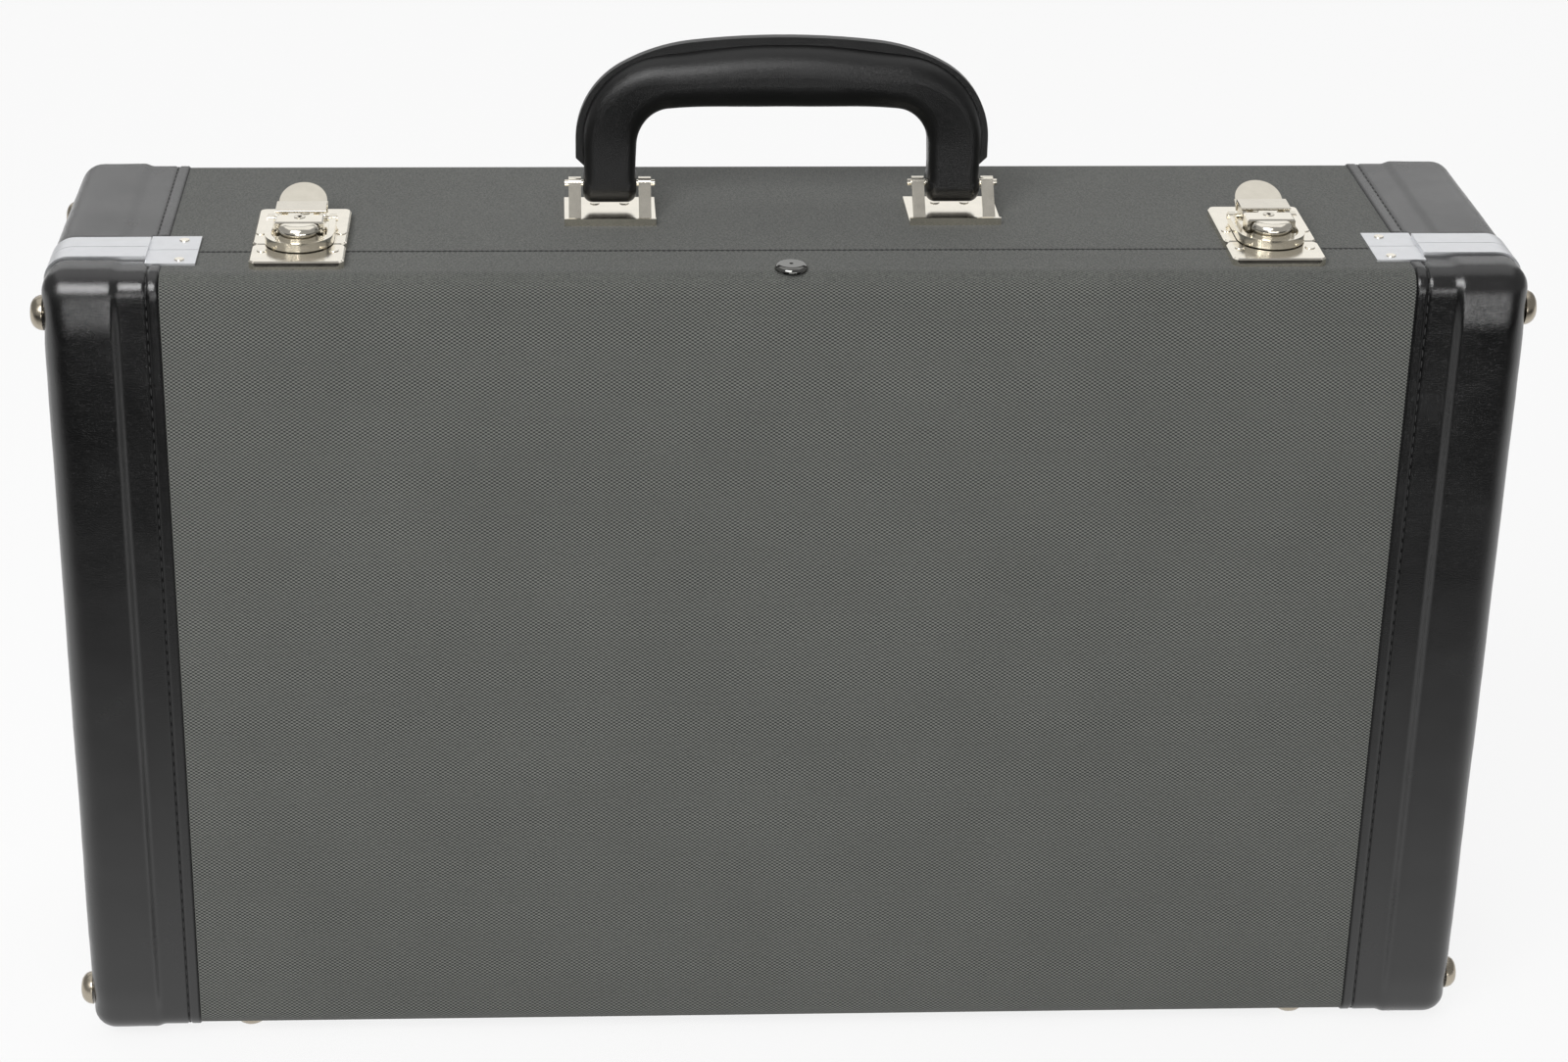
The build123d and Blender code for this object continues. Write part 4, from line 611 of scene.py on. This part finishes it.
def stitch_tree():
    """Stitches laid end to end along the edges of a mesh."""
    tree = bpy.data.node_groups.new("stitch_row", "GeometryNodeTree")
    made = tree.interface.new_socket
    made("Geometry", in_out="INPUT", socket_type="NodeSocketGeometry")
    for name in ("Pitch", "Length", "Radius"):
        made(name, in_out="INPUT", socket_type="NodeSocketFloat")
    made("Material", in_out="INPUT", socket_type="NodeSocketMaterial")
    made("Geometry", in_out="OUTPUT", socket_type="NodeSocketGeometry")

    def add(kind, **settings):
        node = tree.nodes.new(kind)
        for key, value in settings.items():
            setattr(node, key, value)
        return node

    link = tree.links.new
    given = add("NodeGroupInput")
    path = add("GeometryNodeMeshToCurve")
    link(given.outputs["Geometry"], path.inputs["Mesh"])
    spaced = add("GeometryNodeResampleCurve", mode="LENGTH")
    link(path.outputs[0], spaced.inputs["Curve"])
    link(given.outputs["Pitch"], spaced.inputs["Length"])
    bead = add("GeometryNodeMeshUVSphere")
    bead.inputs["Segments"].default_value = 8
    bead.inputs["Rings"].default_value = 6
    bead.inputs["Radius"].default_value = 1.0
    half = add("ShaderNodeMath", operation="MULTIPLY")
    half.inputs[1].default_value = 0.5
    link(given.outputs["Length"], half.inputs[0])
    size = add("ShaderNodeCombineXYZ")
    link(half.outputs[0], size.inputs["X"])
    link(given.outputs["Radius"], size.inputs["Y"])
    link(given.outputs["Radius"], size.inputs["Z"])
    along = add("GeometryNodeInputTangent")
    turn = add("FunctionNodeAlignRotationToVector", axis="X")
    link(along.outputs[0], turn.inputs["Vector"])
    laid = add("GeometryNodeInstanceOnPoints")
    link(spaced.outputs[0], laid.inputs["Points"])
    link(bead.outputs["Mesh"], laid.inputs["Instance"])
    link(turn.outputs[0], laid.inputs["Rotation"])
    link(size.outputs[0], laid.inputs["Scale"])
    real = add("GeometryNodeRealizeInstances")
    link(laid.outputs[0], real.inputs[0])
    finish = add("GeometryNodeSetMaterial")
    link(real.outputs[0], finish.inputs["Geometry"])
    link(given.outputs["Material"], finish.inputs["Material"])
    result = add("NodeGroupOutput")
    link(finish.outputs[0], result.inputs[0])
    return tree


def grown(name, points, edges, tree, values):
    """What a node tree makes of a line of points, as a plain mesh."""
    mesh = bpy.data.meshes.new(name)
    mesh.from_pydata(points, edges, [])
    piece = placed(name, mesh)
    modifier = piece.modifiers.new(name, "NODES")
    modifier.node_group = tree
    for item in tree.interface.items_tree:
        if item.in_out == "INPUT" and item.name in values:
            modifier[item.identifier] = values[item.name]
    bpy.context.view_layer.update()
    evaluated = piece.evaluated_get(bpy.context.evaluated_depsgraph_get())
    result = bpy.data.meshes.new_from_object(evaluated)
    piece.modifiers.clear()
    piece.data = result
    shade_smooth(result)
    return piece


def round_path(x, outward, start, height):
    """A line round one half of the case at x, from near the seam to near it again."""
    radius = EDGE_ROUND + height
    path = [Vector((x, SEAM + outward * start, TOP + height))]
    for corner_z, first in ((MIDDLE + CORE.z, 90), (MIDDLE - CORE.z, 0)):
        for step in range(CORNER_TURNS + 1):
            angle = math.radians(first - step * 90 / CORNER_TURNS)
            path.append(Vector((
                x,
                outward * (CORE.y + radius * math.cos(angle)),
                corner_z + radius * math.sin(angle),
            )))
    path.append(Vector((x, SEAM + outward * start, BOTTOM - height)))
    return path


def make_stitches():
    tree = stitch_tree()
    values = {
        "Pitch": STITCH_PITCH,
        "Length": STITCH_LENGTH,
        "Radius": STITCH_RADIUS,
        "Material": THREAD,
    }
    for half, body, outward in HALVES:
        points, edges = [], []
        for x in (-STITCH_LINE, STITCH_LINE):
            path = round_path(x, outward, STITCH_FROM_SEAM, STITCH_HEIGHT)
            first = len(points)
            points += path
            edges += [(first + i, first + i + 1) for i in range(len(path) - 1)]
        row = grown(f"{half}_stitches", points, edges, tree, values)
        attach(row, body)


# The plush lining and the blocks


def pile_height(point, out):
    """How far the lining's slightly wavy face lies above the tweed's face: below zero."""
    width, rise = LINING_WAVE
    return -LINING_FACE + noise.noise(point / width) * rise


def make_linings():
    for half, body, outward in HALVES:
        edge = SEAM + outward * LINING_FROM_SEAM
        ys = depth_steps(even_steps(edge, outward * CORE.y, LINING_STEP), outward)
        xs = rounded_steps(-CORE.x, CORE.x, LINING_STEP, True, True)
        zs = rounded_steps(MIDDLE - CORE.z, MIDDLE + CORE.z, LINING_STEP, True, True)
        low, high = half_box(-CORE.x, CORE.x, ys, outward)
        lining = case_wall(
            f"{half}_plush_lining", (xs, ys, zs), low, high,
            [(0, 1), (0, -1), (1, outward), (2, 1), (2, -1)],
            lambda point, out: -LINING_BACK, pile_height, PLUSH,
        )
        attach(lining, body)
        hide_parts(f"{half}_lining")


def soft_block(node, body, rounds, swell):
    """A foam block under plush, its edges softened in rounds and its faces slightly full."""
    work = bmesh.new()
    work.from_mesh(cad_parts[node].data)
    bmesh.ops.remove_doubles(work, verts=work.verts, dist=MERGE)
    bmesh.ops.dissolve_limit(
        work, angle_limit=math.radians(1), verts=work.verts, edges=work.edges
    )
    low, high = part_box(node)
    for axis in range(3):
        normal = [0, 0, 0]
        normal[axis] = 1
        inside = even_steps(low[axis], high[axis], BLOCK_STEP)[1:-1]
        near_edges = [low[axis] + a for a in BLOCK_EDGE] + [high[axis] - a for a in BLOCK_EDGE]
        for place in inside + near_edges:
            spot = [0, 0, 0]
            spot[axis] = place
            everything = work.verts[:] + work.edges[:] + work.faces[:]
            bmesh.ops.bisect_plane(work, geom=everything, plane_co=spot, plane_no=normal)
    bmesh.ops.triangulate(work, faces=work.faces)
    for _ in range(rounds):
        bmesh.ops.smooth_vert(
            work, verts=work.verts, factor=0.5, use_axis_x=True, use_axis_y=True, use_axis_z=True
        )
    work.normal_update()
    for vertex in work.verts:
        vertex.co += vertex.normal * noise.noise(vertex.co / BLOCK_WAVE) * swell
    mesh = bpy.data.meshes.new(f"soft_{node}")
    work.to_mesh(mesh)
    work.free()
    shade_smooth(mesh)
    mesh.materials.append(PLUSH)
    piece = placed(f"soft_{node}", mesh)
    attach(piece, body)
    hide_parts(node)


def make_blocks():
    for side in ("left", "right"):
        for kind in ("neck_block", "tail_block", "mouthpiece_block", "valve_rest"):
            soft_block(f"{kind}_{side}", "case", rounds=3, swell=0.3 * MM)
        soft_block(f"accessory_box_{side}", "case", rounds=1, swell=0.1 * MM)
    soft_block("lid_pads", "lid", rounds=6, swell=0.4 * MM)


# Floor, light and camera

FLOOR_CLEAR = 0.85  # how much of the white room shows through the floor
FLOOR_REACH = 6
DARK_STARTS = 0.08  # in front of the case, in what shines
DARK_FULL = 0.62
WHITE = (1, 1, 1, 1)
ROOM_LIGHT = 0.30
AIM = Vector((0, 0, 0.15))  # where the lamps point

# name, place, width, height and power of each lamp
LAMPS = (
    ("key", (-0.7, -1.5, 1.7), 1.5, 1.1, 34),
    ("front", (0.3, -2.6, 0.24), 2.6, 0.3, 13),
    ("top", (0.0, 0.5, 2.2), 3.6, 2.0, 14),
    ("back", (0.0, 2.4, 1.3), 4.2, 1.5, 13),
)


def make_floor():
    """A misty clear floor that takes the case's shadow.

    An open lid hangs below the level of the feet and is seen through the floor. In what
    shines, the floor is white near the case and dark further off in front.
    """
    f = Finish("white_floor")
    paper = f.noise(0.4, 2, 0.5)
    paper = f.mix(paper, (0.86, 0.86, 0.86, 1), (0.89, 0.89, 0.89, 1))
    diffuse = f.add("ShaderNodeBsdfDiffuse", {"Color": paper})
    glow = f.add("ShaderNodeEmission", {"Color": WHITE, "Strength": 1.0})
    dark = f.add("ShaderNodeEmission", {"Color": (0.012, 0.012, 0.012, 1), "Strength": 1.0})
    clear = f.add("ShaderNodeBsdfTransparent")
    ray = f.add("ShaderNodeLightPath").outputs
    mirrored_ray = f.math("MAXIMUM", ray["Is Glossy Ray"], ray["Is Transmission Ray"])
    ahead = f.add("ShaderNodeSeparateXYZ", {"Vector": f.place}).outputs[1]
    far = f.ramp(f.math("MULTIPLY", ahead, -1.0), 0.0, 1.0, DARK_STARTS, DARK_FULL)
    seen = f.math("MULTIPLY", ray["Is Camera Ray"], FLOOR_CLEAR)
    through = f.math("MAXIMUM", seen, ray["Is Shadow Ray"])
    mixed = diffuse
    for share, layer in (
        (f.math("MULTIPLY", mirrored_ray, FLOOR_CLEAR), glow),
        (f.math("MULTIPLY", far, ray["Is Glossy Ray"]), dark),
        (through, clear),
    ):
        mixed = f.add("ShaderNodeMixShader", {0: share, 1: mixed.outputs[0], 2: layer.outputs[0]})
    f.tree.links.new(mixed.outputs[0], f.output.inputs[0])
    turns = ((-1, -1), (1, -1), (1, 1), (-1, 1))
    corners = [(x * FLOOR_REACH, y * FLOOR_REACH, 0) for x, y in turns]
    floor = new_piece("floor", corners, [[0, 1, 2, 3]], f.material)


def make_room():
    """A room that looks white and lights the case softly."""
    world = bpy.data.worlds.new("room")
    bpy.context.scene.world = world
    world.use_nodes = True
    tree = world.node_tree
    tree.nodes.clear()
    light = tree.nodes.new("ShaderNodeLightPath")
    mix = tree.nodes.new("ShaderNodeMixShader")
    for socket, strength in ((1, ROOM_LIGHT), (2, 1.0)):
        walls = tree.nodes.new("ShaderNodeBackground")
        walls.inputs["Color"].default_value = WHITE
        walls.inputs["Strength"].default_value = strength
        tree.links.new(walls.outputs[0], mix.inputs[socket])
    either = tree.nodes.new("ShaderNodeMath")
    either.operation = "MAXIMUM"
    tree.links.new(light.outputs["Is Camera Ray"], either.inputs[0])
    tree.links.new(light.outputs["Is Transmission Ray"], either.inputs[1])
    tree.links.new(either.outputs[0], mix.inputs[0])
    out = tree.nodes.new("ShaderNodeOutputWorld")
    tree.links.new(mix.outputs[0], out.inputs[0])


def make_lamps():
    """Broad soft lamps, turned to the case."""
    for name, place, width, height, power in LAMPS:
        lamp = bpy.data.lights.new(name, "AREA")
        lamp.shape = "RECTANGLE"
        lamp.size = width
        lamp.size_y = height
        lamp.energy = power
        holder = placed(name, lamp)
        holder.visible_camera = False
        holder.location = place
        toward = AIM - Vector(place)
        holder.rotation_euler = toward.to_track_quat("-Z", "Y").to_euler()


# The camera, solved from the photograph: angles in radians, lens in mm

CAMERA_PLACE = Vector((-0.09004, -1.30646, 0.80306))
CAMERA_DOWN = 0.4328
CAMERA_TURN = 0.0466
CAMERA_ROLL = 0.0129
LENS = 78.307
SENSOR_WIDTH = 36
LENS_SHIFT = (0.05, 0.00725)


def make_camera():
    """The photograph's view, from above and slightly to the left."""
    ahead = Vector((
        math.sin(CAMERA_TURN) * math.cos(CAMERA_DOWN),
        math.cos(CAMERA_TURN) * math.cos(CAMERA_DOWN),
        -math.sin(CAMERA_DOWN),
    ))
    level = Vector((math.cos(CAMERA_TURN), -math.sin(CAMERA_TURN), 0))
    upward = level.cross(ahead)
    right = level * math.cos(CAMERA_ROLL) + upward * math.sin(CAMERA_ROLL)
    up = upward * math.cos(CAMERA_ROLL) - level * math.sin(CAMERA_ROLL)
    turned = Matrix((right, up, -ahead)).transposed()
    lens = bpy.data.cameras.new("camera")
    lens.lens = LENS
    lens.sensor_width = SENSOR_WIDTH
    lens.shift_x, lens.shift_y = LENS_SHIFT
    holder = placed("camera", lens)
    holder.matrix_world = Matrix.Translation(CAMERA_PLACE) @ turned.to_4x4()
    bpy.context.scene.camera = holder
    bpy.context.scene.view_settings.view_transform = "Standard"


make_camera()
make_floor()
make_room()
make_lamps()
make_leather_ends()
make_stitches()
make_linings()
make_blocks()
